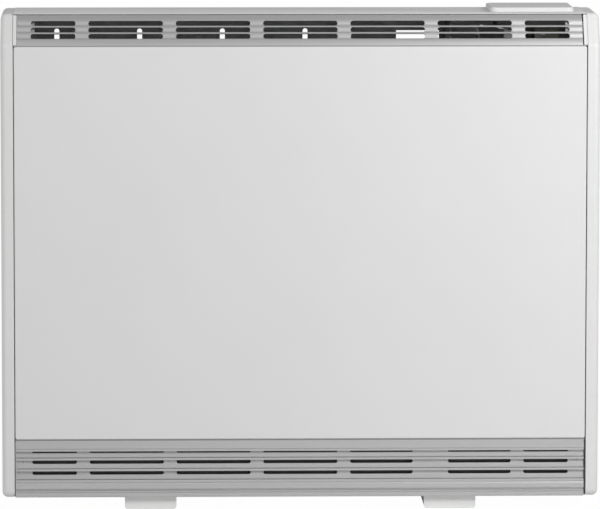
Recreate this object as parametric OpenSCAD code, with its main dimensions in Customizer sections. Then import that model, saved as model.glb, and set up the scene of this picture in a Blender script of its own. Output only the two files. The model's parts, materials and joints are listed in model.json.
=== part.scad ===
// Slim storage heater: a steel casing between two rounded end caps, with a sloping outlet
// grille along the top front edge, an inlet grille along the foot, and a hinged lid over two
// knobs on top at the right. Inside, an insulated brick core with hairpin elements fills the
// left bay, and the controls and wiring fill the right bay. A damper flap above the core lets
// hot air into the outlet chamber, and the output knob works it through a cam and a link.
// X is the width, Y goes from the front to the wall, and Z is up. The origin is on the floor,
// half way along the width and half way between the front face and the wall.

/* [Casing] */
// Overall width over both end caps
casing_w = 865; // [800:1:940]
// Height from the floor to the top panel
casing_h = 720; // [690:1:780]
// Depth from the front panel to the back of the casing
casing_d = 170; // [162:1:190]
// Gap that the wall brackets keep behind the casing
wall_gap = 15; // [12:0.5:25]
// Thickness of the casing's steel sheet
sheet_t = 1.2; // [0.8:0.1:1.5]
// Height of the slope along the top front edge
slope_rise = 44.5; // [42:0.5:48]
// How far the slope leans back
slope_back = 33; // [30:0.5:36]
// Width of each folded flange inside the casing
flange_w = 12; // [10:0.5:14]

/* [End caps] */
// Width of each end cap
cap_w = 18; // [15:0.5:24]
// Rounding of an end cap's outer edges
cap_edge_r = 7; // [4:0.5:8]
// Wall of an end cap
cap_wall = 2.5; // [2:0.1:3]
// Rim left round the pocket in an end cap
cap_rim = 4; // [3.5:0.1:5]
// Radius of a screw boss in an end cap
cap_boss_r = 5; // [4:0.5:6]

/* [Feet] */
// Height of the feet
foot_h = 19; // [15:0.5:25]
// Width of each foot
foot_w = 75; // [60:1:90]
// Depth of each foot
foot_d = 150; // [130:1:155]
// Distance from an end cap to the centre of a foot
foot_inset = 197; // [155:0.5:225]
// How far the feet stand behind the front face
foot_set_back = 10; // [8:0.5:16]
// Rounding of a foot's lower corners
foot_corner_r = 5; // [2:0.5:8]
// Wall of a foot
foot_wall = 3; // [2.5:0.1:4]
// Radius of the pegs that hold a foot in the base tray
foot_peg_r = 4; // [3:0.5:6]

/* [Front panel] */
// Depth of the folded edges of the front panel
panel_fold = 13; // [12:0.5:16]
// Radius of the front panel's corners
panel_corner_r = 3; // [1:0.5:5]
// Height of the panel's lower edge above the floor
panel_bottom_z = 103.8; // [103.8:0.1:110]
// Gap between the panel and what lies beside it
panel_gap = 1.2; // [0.8:0.1:1.6]

/* [Grilles] */
// Distance between the centres of two slots in a row
slot_pitch = 126; // [118:0.5:134]
// Length of a full slot
slot_l = 107.5; // [95:0.5:112]
// Plain length at each end of a slot row, measured from the end cap
slot_end_margin = 25.5; // [22:0.5:32]
// Thickness of a grille at its thinnest
grille_t = 1.5; // [1.2:0.1:2]
// Distance between two grooves of the upper grille, along the slope
groove_pitch = 11.1; // [10.8:0.1:12]
// Width of a groove of the upper grille
groove_w = 8.2; // [7:0.1:8.2]
// Depth of a groove of the upper grille at its lower edge
groove_depth = 3; // [2:0.1:3.5]
// Distance from the foot of the slope to the centre of the lowest groove
groove_start = 16.8; // [15.5:0.1:17]
// Width of the slots in the upper grille
upper_slot_w = 7.6; // [5:0.1:7.6]
// Width of the trim at each end of the upper grille
trim_w = 5; // [4:0.5:7]
// How far the end trims stand out of the slope
trim_proud = 0.6; // [0.3:0.1:1]
// Length of the brackets behind the upper grille
grille_bracket_l = 30; // [27:0.5:50]
// Depth of the lower grille
lower_grille_d = 6; // [5.5:0.1:8]
// Height of a louvre's lip on the lower grille
lip_h = 2.9; // [2.4:0.1:3.4]
// Height of a louvre's recess, where its slots are
recess_h = 5.6; // [5:0.1:6]
// Height of the first recess, under the top band
first_recess_h = 2.7; // [2.2:0.1:3.4]
// Depth of a louvre's recess
recess_d = 4.5; // [3.8:0.1:4.9]
// Height of a louvre's face below its slots
face_h = 6.25; // [5.8:0.05:6.4]
// Depth that is left at the lower edge of a louvre's face
face_d = 3; // [0.5:0.1:3.4]
// Height of the shadow line under a louvre's face
notch_h = 1.15; // [0.8:0.05:1.4]
// Height of the plain band along the top of the lower grille
top_band_h = 15.6; // [15:0.1:17.5]
// Height of the rounded band below the louvres
bead_h = 9.4; // [8:0.1:10]
// Width of the blank stretch in the lower grille's slots, in front of the partition
blank_w = 51.3; // [45:0.1:60]

/* [Back panel] */
// Width of a vent slot in the back panel
vent_w = 7.3; // [5:0.1:10]
// Height of a vent slot in the back panel
vent_h = 25; // [18:0.5:30]
// Height of the vents' tops below the top panel
vent_top_drop = 34; // [30:0.5:40]
// Distance between the centres of two vents
vent_pitch = 121.5; // [116:0.5:126]
// Distance of the last vent to the right of the middle
vent_shift = 11; // [0:0.1:20]
// Width of the window behind the damper
window_w = 63; // [50:1:70]
// Height of the window behind the damper
window_h = 28; // [20:0.5:30]
// Radius of the bore for the supply cable
cable_bore_r = 5.5; // [4:0.1:7]
// Height of the supply cable's bore
cable_z = 80; // [60:1:100]
// Distance from the right end cap to the supply cable's bore
cable_inset = 84.5; // [70:0.5:95]

/* [Wall brackets] */
// Distance from the middle to each wall bracket
bracket_x = 270; // [240:1:300]
// Width of each wall bracket
bracket_w = 40; // [30:1:50]
// Thickness of the wall brackets
bracket_t = 2; // [1.5:0.1:2.5]
// Distance of a bracket's step below the top panel
bracket_drop = 135; // [115:1:155]
// Height of each flange of a wall bracket
bracket_flange_h = 44; // [40:1:55]
// Distance between the two wall screws of a bracket
wall_hole_pitch = 24; // [20:1:30]
// Radius of the holes for the wall screws
wall_hole_r = 3.25; // [2.5:0.05:4]

/* [Screws] */
// Radius of the screws' shanks
screw_r = 1.6; // [1.2:0.1:2]
// Length of the screws' shanks
screw_l = 9; // [7:0.5:10]
// Radius of the screws' heads
screw_head_r = 3.6; // [3:0.1:4]
// Height of the screws' heads
screw_head_h = 2; // [1.5:0.1:2.5]

/* [Core] */
// Thickness of the insulation under the bricks
base_ins_t = 40; // [30:1:50]
// Thickness of the insulation over the bricks
top_ins_t = 52; // [40:1:60]
// Thickness of the insulation in front of the bricks
front_ins_t = 20; // [15:1:25]
// Thickness of the insulation behind the bricks
rear_ins_t = 27; // [20:1:32]
// Thickness of the insulation at each end of the bricks
side_ins_t = 30; // [25:1:40]
// Height of the air chamber over the core
chamber_h = 75; // [72:0.5:80]
// Gap between two bricks, side by side
brick_gap = 0.4; // [0.3:0.1:0.8]
// Width of an air channel between the bricks
channel_w = 24; // [16:1:32]
// Depth of an air channel in each brick
channel_d = 7; // [5:0.5:9]
// Radius of a heating element's sheath
element_r = 4.2; // [3.5:0.1:5]
// Gap round an element in its groove
element_gap = 0.4; // [0.3:0.1:0.6]
// How far an element's terminals stand into the control bay
terminal_reach = 26; // [20:1:32]

/* [Controls] */
// Width of the control bay at the right
control_bay_w = 195.6; // [185:0.1:205]
// Width of the lid
lid_w = 122; // [116:1:126]
// Depth of the lid
lid_d = 113; // [109:1:116]
// Height of the lid's top over the top panel
lid_rise = 7; // [6.5:0.1:9]
// Wall of the lid
lid_wall = 2.2; // [1.8:0.1:2.4]
// Radius of the lid's corners
lid_corner_r = 10; // [6:0.5:12]
// Distance from the right end cap to the lid
lid_side_gap = 16.5; // [14:0.5:22]
// Distance from the back of the casing to the lid
lid_back_gap = 7; // [6.5:0.1:8]
// How far the lid opens, in degrees
lid_open = 95; // [85:1:95]
// Width of the control tray
tray_w = 102; // [98:1:106]
// Depth of the control tray, from front to back
tray_d = 94; // [90:1:98]
// How far the control tray hangs below the top panel
tray_depth = 22; // [21:0.5:25]
// Wall of the control tray
tray_wall = 2; // [1.6:0.1:2.4]
// Radius of the tray's corners
tray_corner_r = 6; // [4:0.5:8]
// Thickness of the control fascia
fascia_t = 1.5; // [1:0.1:2]
// Distance between the two knobs
knob_pitch = 48; // [44:0.5:52]
// Radius of a knob's skirt
knob_r = 16; // [13:0.5:17]
// Height of a knob
knob_h = 15; // [12:0.5:16]
// Radius of the knobs' spindles
spindle_r = 3; // [2.5:0.1:3.5]
// Radius of the lid's hinge pins
hinge_pin_r = 1.25; // [1:0.05:1.4]
// Radius of the lid's hinge knuckles
knuckle_r = 2.4; // [2.1:0.1:2.5]
// Length of a hinge knuckle
knuckle_l = 16; // [10:0.5:20]
// Distance between the two hinges
hinge_pitch = 80; // [60:1:90]
// Thickness of the hinge's ears
ear_t = 3; // [2:0.1:4]

/* [Damper] */
// Length of the damper flap, from its spindle to its free edge
flap_l = 70; // [60:1:72]
// Width of the damper flap
flap_w = 64; // [56:1:68]
// Thickness of the damper flap
flap_t = 1.5; // [1:0.1:2]
// How far the flap opens, in degrees
flap_open = 50; // [40:1:52]
// Radius of the damper's spindle
damper_spindle_r = 2.5; // [2:0.1:3]
// Length of the crank on the damper's spindle
crank_r = 16; // [14:0.5:17]
// Radius of the crank's pin and of the cam's follower
follower_r = 2; // [1.5:0.1:2.5]
// Turn of each knob, in degrees
knob_turn = 270; // [240:5:300]
// Smallest radius of the cam's groove
cam_min_r = 8; // [7:0.1:9]
// Thickness of the cam
cam_t = 4; // [3:0.1:5]
// Height of the link's bar
link_h = 4; // [3:0.1:5]
// Thickness of the link's bar
link_t = 2.5; // [2:0.1:3]

/* [Clearances] */
// Gap between parts that only stand next to each other
near_gap = 0.3; // [0.2:0.05:0.5]
// Radial clearance of a shaft that turns in a bore
running_gap = 0.08; // [0.04:0.01:0.1]
// Radial clearance of a screw in its pilot hole
pilot_gap = 0.05; // [0.02:0.01:0.1]

/* [Hidden] */
$fn = 64;
hull_fn = 32;
brick_columns = 3;
brick_layers = 2;
brick_rows = 2;
element_count = 3;
groove_count = 3;
tiny = 0.01;

// Casing planes
front_y = -(casing_d + wall_gap) / 2;
back_y = front_y + casing_d;
wall_y = -front_y;
inner_half = casing_w / 2 - cap_w;
slope_z = casing_h - slope_rise;
slope_angle = atan2(slope_back, slope_rise);
slope_l = norm([slope_back, slope_rise]);
sheet_half = inner_half - sheet_t;
foot_x = inner_half - foot_inset;
floor_top = foot_h + sheet_t;
flange_y = front_y + panel_fold;
cover_y = flange_y + sheet_t;
bay_front_y = cover_y + sheet_t;
back_in_y = back_y - sheet_t;
bay_back_y = back_in_y - sheet_t - near_gap;
bay_left_x = -(sheet_half - flange_w) + near_gap;
slope_frame_inset = 8;
bar_fit = 4 * running_gap;
grille_depth = groove_depth + grille_t;

// Control bay, partition and chamber
partition_x = sheet_half - control_bay_w;
chamber_z = casing_h - chamber_h;
chamber_floor = chamber_z + sheet_t;

// Core block
core_x0 = bay_left_x + side_ins_t;
core_x1 = partition_x - sheet_t - side_ins_t;
core_y0 = bay_front_y + front_ins_t;
core_y1 = bay_back_y - rear_ins_t;
core_y = (core_y0 + core_y1) / 2;
core_z0 = floor_top + base_ins_t;
core_z1 = chamber_z - top_ins_t;
brick_w = (core_x1 - core_x0) / brick_columns;
brick_d = (core_y1 - core_y0) / brick_rows;
brick_h = (core_z1 - core_z0) / brick_layers;
leg_pitch = (core_z1 - core_z0) / (2 * element_count);
element_groove_r = element_r + element_gap;
bend_margin = 14;
bend_x = core_x0 + bend_margin + leg_pitch / 2 + element_groove_r;
sheath_end_x = partition_x + terminal_reach / 2;

// Lid, tray and knobs
lid_x = inner_half - lid_side_gap - lid_w / 2;
lid_y1 = back_y - lid_back_gap;
lid_y0 = lid_y1 - lid_d;
tray_x0 = lid_x - tray_w / 2;
tray_y0 = lid_y0 + (lid_d - tray_d) / 2 + 1;
tray_y = tray_y0 + tray_d / 2;
tray_floor_z = casing_h - tray_depth + tray_wall;
tray_under_z = casing_h - tray_depth;
flange_top_z = casing_h + sheet_t;
fascia_z = tray_floor_z + fascia_t;
knob_z = fascia_z + near_gap;
spindle_top_z = knob_z + knob_h * 2 / 3;
charge_x = lid_x + knob_pitch / 2;
output_x = lid_x - knob_pitch / 2;
hinge_y = back_y - lid_back_gap / 2;
hinge_z = flange_top_z + knuckle_r + 0.4;

// Damper, crank, link and cam
damper_inset = 19.5;
flap_front = 42;
flap_lift = 0.5;
crank_gap = 4.5;
link_gap = 0.5;
eye_rim = 4;
cam_lift = 1;
cradle_drop = 7;
damper_x = partition_x - sheet_t - damper_inset;
damper_z = chamber_floor + flap_lift + flap_t + damper_spindle_r;
flap_y0 = tray_y - flap_front;
flap_y1 = flap_y0 + flap_w;
crank_lean = flap_open / 2;
crank_pin_x = damper_x - crank_r * sin(crank_lean);
crank_pin_z = damper_z + crank_r * cos(crank_lean);
crank_pin_top_z = damper_z + crank_r;
link_travel = 2 * crank_r * sin(crank_lean);
crank_t = 2;
crank_y = flap_y1 + crank_gap;
link_y = crank_y + crank_t + link_gap;
link_z = (crank_pin_z + crank_pin_top_z) / 2 - link_h / 2;
eye_half_w = follower_r + eye_rim;
eye_half_h = (crank_pin_top_z - crank_pin_z) / 2 + follower_r + eye_rim;
cam_max_r = cam_min_r + link_travel;
cam_groove_half = follower_r + bar_fit / 2;
cam_rim = 2.5;
cam_r = cam_max_r + cam_groove_half + cam_rim;
cam_z = link_z + link_h + cam_lift;
follower_x = output_x - cam_max_r;
cradle_z = link_z - cradle_drop;
bearing_t = 2;
bearing_ys = [flap_y0 - 7, link_y + link_t + 4];
aperture_x0 = damper_x - flap_l + 7;
aperture_x1 = damper_x - 9;
aperture_y0 = flap_y0 + 7;
aperture_y1 = flap_y1 - 7;

// Back panel, cable entry and wiring
vent_top_z = casing_h - vent_top_drop;
vent_first = -floor((inner_half - slot_end_margin) / vent_pitch);
window_x1 = partition_x - sheet_t - 8.5;
window_z1 = casing_h - vent_top_drop - 3;
cable_x = inner_half - cable_inset;
grommet_r = cable_bore_r + 3.5;
grommet_lip_r = cable_bore_r + 6.5;
grommet_lip_t = 2;
terminal_block_size = [60, 20, 22];
terminal_block_z = cable_z + 70;
wire_r = 1.5;
frame_screw_low = foot_h + 41;
frame_screw_high = slope_z - 10.5;
frame_screw_zs = [for (k = [0:3]) frame_screw_low + (frame_screw_high - frame_screw_low) * k / 3];
cap_screw_low = foot_h + 61;
cap_screw_high = chamber_z - 40;
cap_screw_zs = [cap_screw_low, (cap_screw_low + cap_screw_high) / 2, cap_screw_high];
frame_screw_x = sheet_half - flange_w / 2;
bracket_z = casing_h - bracket_drop;
bracket_screw_drops = [12, bracket_flange_h - 10];

function brick_name(column, layer, row) = str("brick_", column, "_", layer, "_", row);

// The casing's side outline as [y, z] points, drawn in from each of its five edges
function casing_outline(front, slope, top, back, bottom) = [
    [front_y + front, foot_h + bottom],
    [front_y + front, slope_z + (front * cos(slope_angle) - slope) / sin(slope_angle)],
    [front_y + (slope + (slope_rise - top) * sin(slope_angle)) / cos(slope_angle), casing_h - top],
    [back_y - back, casing_h - top],
    [back_y - back, foot_h + bottom]
];

// Spans [x0, x1] of one row of grille slots: full ones on the pitch, and a short one at each end
slot_end_x = inner_half - slot_end_margin;
full_each_side = floor((slot_end_x - slot_l / 2) / slot_pitch);
end_slot_x = (full_each_side + 1) * slot_pitch - slot_l / 2;
full_spans = [for (k = [-full_each_side:full_each_side])
    [k * slot_pitch - slot_l / 2, k * slot_pitch + slot_l / 2]];
end_spans = slot_end_x - end_slot_x > slot_l / 8
    ? [[-slot_end_x, -end_slot_x], [end_slot_x, slot_end_x]]
    : [];
slot_spans = concat(full_spans, end_spans);

// The same spans, cut short at a blank stretch from x0 to x1
blank_x1 = partition_x - sheet_t - 2;
blank_x0 = blank_x1 - blank_w;
function cut_high(span) = span[0] < blank_x0 && span[1] > blank_x0 ? blank_x0 : span[1];
function cut_low(span) = span[0] > blank_x0 && span[0] < blank_x1 ? blank_x1 : span[0];
lower_spans = [for (s = slot_spans) [cut_low(s), cut_high(s)]];

// Extrudes a [y, z] outline along X
module along_x(x0, x1) {
    translate([x0, 0, 0])
        rotate([90, 0, 90])
            linear_extrude(x1 - x0) children();
}

// Extrudes an [x, z] outline along Y
module along_y(y0, y1) {
    translate([0, y1, 0])
        rotate([90, 0, 0])
            linear_extrude(y1 - y0) children();
}

// Places children on the slope: X stays, Y runs up the slope and Z points out of it
module on_slope() {
    translate([0, front_y, slope_z])
        rotate([90 - slope_angle, 0, 0]) children();
}

module block(x, y, z) {
    translate([x[0], y[0], z[0]])
        cube([x[1] - x[0], y[1] - y[0], z[1] - z[0]]);
}

module rod_x(x0, x1, r) {
    translate([x0, 0, 0]) rotate([0, 90, 0]) cylinder(h = x1 - x0, r = r);
}

module rod_y(y0, y1, r) {
    translate([0, y1, 0]) rotate([90, 0, 0]) cylinder(h = y1 - y0, r = r);
}

module rod_z(z0, z1, r) {
    translate([0, 0, z0]) cylinder(h = z1 - z0, r = r);
}

module rounded_rect(w, h, r) {
    square([w - 2 * r, h], center = true);
    square([w, h - 2 * r], center = true);
    for (x = [-1, 1], y = [-1, 1])
        translate([x * (w / 2 - r), y * (h / 2 - r)]) circle(r);
}

// A slot with round ends that lies along X, from span[0] to span[1]
module slot_2d(span, w) {
    translate([span[0] + w / 2, -w / 2]) square([span[1] - span[0] - w, w]);
    for (x = [span[0] + w / 2, span[1] - w / 2]) translate([x, 0]) circle(w / 2);
}

function unit(v) = v / norm(v);

// The direction of a route of points at point i: the mean of the stretches that meet there
function heading(points, i) = unit(
    (i > 0 ? unit(points[i] - points[i - 1]) : [0, 0, 0])
    + (i < len(points) - 1 ? unit(points[i + 1] - points[i]) : [0, 0, 0]));

// A ring of points round p, square to the direction t
function ring_points(p, t, r, sides) =
    let (u = unit(cross(t, [0.2, 1, 0.1])), w = cross(t, u))
    [for (k = [0:sides - 1]) p + r * (cos(k * 360 / sides) * u + sin(k * 360 / sides) * w)];

// A tube of radius r swept through a list of points, with a ring of points at each of them
module tube_through(points, r, sides = 8) {
    last = len(points) - 1;
    rings = [for (i = [0:last]) each ring_points(points[i], heading(points, i), r, sides)];
    walls = [for (i = [0:last - 1], k = [0:sides - 1])
        let (a = i * sides + k, b = i * sides + (k + 1) % sides)
        each [[a, a + sides, b + sides], [a, b + sides, b]]];
    ends = [[for (k = [0:sides - 1]) k], [for (k = [sides - 1:-1:0]) last * sides + k]];
    polyhedron(rings, concat(walls, ends));
}

module both_sides() {
    children();
    mirror([1, 0, 0]) children();
}

// A pan-head screw that points down from the origin
module screw() {
    cylinder(h = screw_head_h, r = screw_head_r);
    translate([0, 0, -screw_l]) cylinder(h = screw_l + tiny, r = screw_r);
}

// Places children at each screw of the end cap at the left
module at_cap_screws() {
    for (z = cap_screw_zs) translate([-sheet_half, 0, z]) rotate([0, 90, 0]) children();
}

// Places children at each screw along the left edge of the back panel
module at_frame_screws() {
    for (z = frame_screw_zs) translate([-frame_screw_x, back_y, z]) rotate([-90, 0, 0]) children();
}

// Places children at each screw of the left wall bracket
module at_bracket_screws() {
    for (drop = bracket_screw_drops)
        translate([-bracket_x, back_y + bracket_t, bracket_z - drop]) rotate([-90, 0, 0]) children();
}

module casing_screws() {
    color("silver") both_sides() {
        at_cap_screws() screw();
        at_frame_screws() screw();
        at_bracket_screws() screw();
    }
}

module screw_clearances(gap, length) {
    translate([0, 0, -length]) cylinder(h = 2 * length, r = screw_r + gap);
}

// Casing -------------------------------------------------------------------------------

tray_lip_y = front_y + lower_grille_d + 2.5;
tray_lip_h = 12;

module base_tray() {
    lip_half = sheet_half - flange_w - near_gap;
    color("gainsboro") difference() {
        union() {
            block([-inner_half, inner_half], [tray_lip_y, back_in_y], [foot_h, floor_top]);
            block([-lip_half, lip_half], [tray_lip_y, tray_lip_y + sheet_t],
                [foot_h, floor_top + tray_lip_h]);
            block([partition_x + sheet_t + 1, lip_half], [back_in_y - sheet_t, back_in_y],
                [foot_h, floor_top + tray_lip_h]);
        }
        both_sides() at_foot_pegs() cylinder(h = 4 * sheet_t, r = foot_peg_r + near_gap / 2, center = true);
        translate([earth_x, earth_y, foot_h - 1]) cylinder(h = sheet_t + 2, r = earth_r + pilot_gap);
    }
}

module vent_hole(x) {
    translate([x, back_in_y - 1, vent_top_z - vent_h / 2])
        rotate([-90, 90, 0])
            linear_extrude(sheet_t + 2) slot_2d([-vent_h / 2, vent_h / 2], vent_w);
}

module back_panel() {
    color("gainsboro") difference() {
        block([-inner_half, inner_half], [back_in_y, back_y], [foot_h, casing_h - sheet_t]);
        for (k = [vent_first:0]) vent_hole(k * vent_pitch + vent_shift);
        block([window_x1 - window_w, window_x1], [back_in_y - 1, back_y + 1],
            [window_z1 - window_h, window_z1]);
        translate([cable_x, 0, cable_z]) rod_y(back_in_y - 1, back_y + 1, grommet_r + near_gap / 2);
        both_sides() {
            at_frame_screws() screw_clearances(pilot_gap, 5);
            at_bracket_screws() screw_clearances(pilot_gap, 5);
        }
    }
}

// The sheet's top turns down over the head of the slope as a short lip
module top_panel_outline() {
    lip = 2.5;
    turn = sheet_t * (1 - sin(slope_angle)) / cos(slope_angle);
    edge_y = front_y + slope_back;
    polygon([
        [back_y, casing_h],
        [edge_y, casing_h],
        [edge_y - lip * sin(slope_angle), casing_h - lip * cos(slope_angle)],
        [edge_y - lip * sin(slope_angle) + sheet_t * cos(slope_angle),
            casing_h - lip * cos(slope_angle) - sheet_t * sin(slope_angle)],
        [edge_y + turn, casing_h - sheet_t],
        [back_y, casing_h - sheet_t]
    ]);
}

module top_panel() {
    hole_gap = 0.5;
    color("gainsboro") difference() {
        along_x(-inner_half, inner_half) top_panel_outline();
        translate([lid_x, tray_y, casing_h - 2 * sheet_t])
            linear_extrude(3 * sheet_t)
                rounded_rect(tray_w + 2 * hole_gap, tray_d + 2 * hole_gap, tray_corner_r + hole_gap);
    }
}

module side_frame() {
    flange_top = slope_z - 3;
    color("silver") difference() {
        union() {
            along_x(-inner_half, -sheet_half)
                polygon(casing_outline(panel_fold, slope_frame_inset, sheet_t, sheet_t, sheet_t));
            for (y = [flange_y, back_in_y - sheet_t])
                block([-sheet_half - tiny, -sheet_half + flange_w], [y, y + sheet_t],
                    [floor_top, flange_top]);
        }
        at_cap_screws() screw_clearances(pilot_gap, 5);
        at_frame_screws() screw_clearances(pilot_gap, 5);
    }
}

module left_side_frame() {
    side_frame();
}

module right_side_frame() {
    mirror([1, 0, 0]) side_frame();
}

// The left cap: its outer edge is rounded, and a pocket and screw bosses lie inside
module end_cap() {
    r = cap_edge_r;
    core = casing_outline(r, r, r, r, r);
    pocket = casing_outline(cap_rim, cap_rim, cap_rim, cap_rim, cap_rim);
    boss_l = cap_w - cap_wall + tiny;
    color("whitesmoke") difference() {
        union() {
            difference() {
                hull() {
                    along_x(-casing_w / 2, -inner_half) polygon(core);
                    for (p = core) translate([0, p[0], p[1]]) {
                        rod_x_coarse(-casing_w / 2 + r, -inner_half, r);
                        translate([-casing_w / 2 + r, 0, 0]) sphere(r, $fn = hull_fn);
                    }
                }
                along_x(-casing_w / 2 + cap_wall, -inner_half + 1) polygon(pocket);
            }
            for (z = cap_screw_zs) translate([-inner_half - boss_l, 0, z]) rod_x(0, boss_l, cap_boss_r);
        }
        for (z = cap_screw_zs)
            translate([-inner_half - screw_l - 1, 0, z]) rod_x(0, screw_l + 2, screw_r + pilot_gap);
    }
}

module rod_x_coarse(x0, x1, r) {
    translate([x0, 0, 0]) rotate([0, 90, 0]) cylinder(h = x1 - x0, r = r, $fn = hull_fn);
}

module left_end_cap() {
    end_cap();
}

module right_end_cap() {
    mirror([1, 0, 0]) end_cap();
}

panel_half = inner_half - panel_gap;
panel_top_z = slope_z - 1.5;

module front_panel() {
    w = 2 * panel_half;
    h = panel_top_z - panel_bottom_z;
    mid_z = (panel_top_z + panel_bottom_z) / 2;
    color("gainsboro") difference() {
        along_y(front_y, flange_y) translate([0, mid_z]) rounded_rect(w, h, panel_corner_r);
        along_y(front_y + sheet_t, flange_y + 1)
            translate([0, mid_z])
                rounded_rect(w - 2 * sheet_t, h - 2 * sheet_t, max(panel_corner_r - sheet_t, 0.2));
    }
}

module inner_front_cover() {
    x = sheet_half - near_gap;
    color("silver") block([-x, x], [cover_y, bay_front_y], [floor_top, chamber_floor]);
}

// The chamber's floor, with the damper's opening and two ears that carry its spindle
module inner_top_cover() {
    ear_half_w = damper_spindle_r + 4;
    color("silver") difference() {
        union() {
            block([-sheet_half + near_gap, partition_x - sheet_t], [bay_front_y, bay_back_y],
                [chamber_z, chamber_floor]);
            for (y = bearing_ys)
                block([damper_x - ear_half_w, damper_x + ear_half_w], [y, y + bearing_t],
                    [chamber_z, damper_z + ear_half_w]);
        }
        block([aperture_x0, aperture_x1], [aperture_y0, aperture_y1], [chamber_z - 1, chamber_floor + 1]);
        for (y = bearing_ys)
            translate([damper_x, 0, damper_z])
                rod_y(y - 1, y + bearing_t + 1, damper_spindle_r + running_gap);
    }
}

module partition() {
    front = bay_front_y - front_y;
    color("silver") difference() {
        along_x(partition_x - sheet_t, partition_x)
            polygon(casing_outline(front, slope_frame_inset, sheet_t, sheet_t, sheet_t));
        for (i = [1:element_count]) element_path(i, element_r + 2, partition_x + 2);
        block([partition_x - 3, partition_x + 2], [link_y - bar_fit, link_y + link_t + bar_fit],
            [link_z - bar_fit, link_z + link_h + bar_fit]);
    }
}

// Grilles ------------------------------------------------------------------------------

grille_half = inner_half - trim_w - 0.5;
lower_half = panel_half;

// Lower edge of groove i, and the curve of its floor: deepest there, and level with the slope
// at the upper edge
function groove_foot(i) = groove_start + i * groove_pitch - groove_w / 2;
function groove_floor(i, drop) = [for (u = [0:0.25:1])
    [groove_foot(i) + u * groove_w, -groove_depth * (1 - u) * (1 - u) - drop]];

// The section of an extrusion of even thickness, as [distance up the slope, height] points
module upper_grille_outline() {
    head = slope_l - 3;
    face = [for (i = [0:groove_count - 1]) each concat(
        [for (p = [[-1.4, 0], [-0.6, -0.2], [-0.1, -0.7], [0, -1.3]]) [groove_foot(i) + p[0], p[1]]],
        groove_floor(i, 0))];
    back = [for (i = [0:groove_count - 1]) each concat(
        [[groove_foot(i) - grille_t, -grille_t], [groove_foot(i) - grille_t, -grille_depth]],
        groove_floor(i, grille_t))];
    turned_back = [for (i = [len(back) - 1:-1:0]) back[i]];
    polygon(concat([[1, -grille_t], [1, 0]], face, [[head, 0], [head, -grille_t]], turned_back));
}

module upper_grille() {
    color("silver") on_slope() difference() {
        along_x(-grille_half, grille_half) upper_grille_outline();
        for (i = [0:groove_count - 1], s = slot_spans)
            translate([0, groove_start + i * groove_pitch, -grille_depth - 1])
                linear_extrude(grille_depth + 2) slot_2d(s, upper_slot_w);
    }
}

module grille_end_trims() {
    deep_from = groove_start - groove_w / 2 - grille_t;
    shallow = 1;
    color("white") both_sides() on_slope() along_x(-inner_half + 0.2, -inner_half + 0.2 + trim_w) union() {
        translate([1, -shallow]) square([slope_l - 4, shallow + trim_proud]);
        translate([deep_from, -grille_depth]) square([slope_l - 3.5 - deep_from, grille_depth]);
    }
}

module grille_brackets() {
    foot = groove_foot(groove_count - 2) - grille_t;
    length = groove_pitch + groove_w + grille_t;
    wing = 10;
    color("darkgray") both_sides() on_slope() {
        along_x(-sheet_half, -sheet_half + grille_bracket_l)
            translate([foot, -grille_depth - grille_t]) square([length, grille_t]);
        along_x(-sheet_half, -sheet_half + grille_t)
            translate([foot, -grille_depth - wing]) square([length, wing]);
    }
}

// Front face of the lower grille as [depth, drop] points below its top edge. A louvre's face is
// deepest under the lip above it, where its slots are, and curves out to stand upright.
function louvre(drop, recess) = concat(
    [[0, -drop]],
    [for (u = [0:1 / 6:1.01])
        [face_d + (recess_d - face_d) * (1 - u) * (1 - u), -drop - u * (recess + face_h)]],
    [
        [recess_d, -drop - recess - face_h],
        [recess_d, -drop - recess - face_h - notch_h],
        [0, -drop - recess - face_h - notch_h]
    ]
);
louvre_h = lip_h + recess_h + face_h + notch_h;
louvres_top = panel_bottom_z - panel_gap - 0.6;
recess_drops = [
    top_band_h,
    top_band_h + first_recess_h + face_h + notch_h + lip_h,
    top_band_h + first_recess_h + face_h + notch_h + lip_h + louvre_h
];
recess_heights = [first_recess_h, recess_h, recess_h];
bead_drop = recess_drops[2] + recess_h + face_h + notch_h + lip_h + 1.4;
lower_drop = louvres_top - foot_h;
bead_d = 1.2;
bead_arc = [for (a = [-90:15:90])
    [bead_d * (1 - cos(a)), -bead_drop - bead_h / 2 - bead_h / 2 * sin(a)]];
// A shallow line across a plain band
function fine_line(drop, level) = [
    [level, -drop + 0.6], [level + 0.7, -drop + 0.3], [level + 0.7, -drop - 0.3], [level, -drop - 0.6]
];
lower_face = concat(
    [[lower_grille_d, 0], [0, 0]],
    fine_line(top_band_h - lip_h - 0.6, 0),
    louvre(recess_drops[0], recess_heights[0]),
    louvre(recess_drops[1], recess_heights[1]),
    louvre(recess_drops[2], recess_heights[2]),
    [[0, -bead_drop + 1.4 - 0.2], [bead_d, -bead_drop + 1.2 - 0.2]],
    bead_arc,
    [[3, -bead_drop - bead_h - 0.4], [3, -bead_drop - bead_h - 2.4], [0.5, -bead_drop - bead_h - 2.4]],
    fine_line(lower_drop - 7.2, 0.5),
    [[0.5, -lower_drop + 2.6], [0.9, -lower_drop + 1.2], [2, -lower_drop + 0.3], [3.2, -lower_drop]],
    [[lower_grille_d, -lower_drop]]
);

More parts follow.
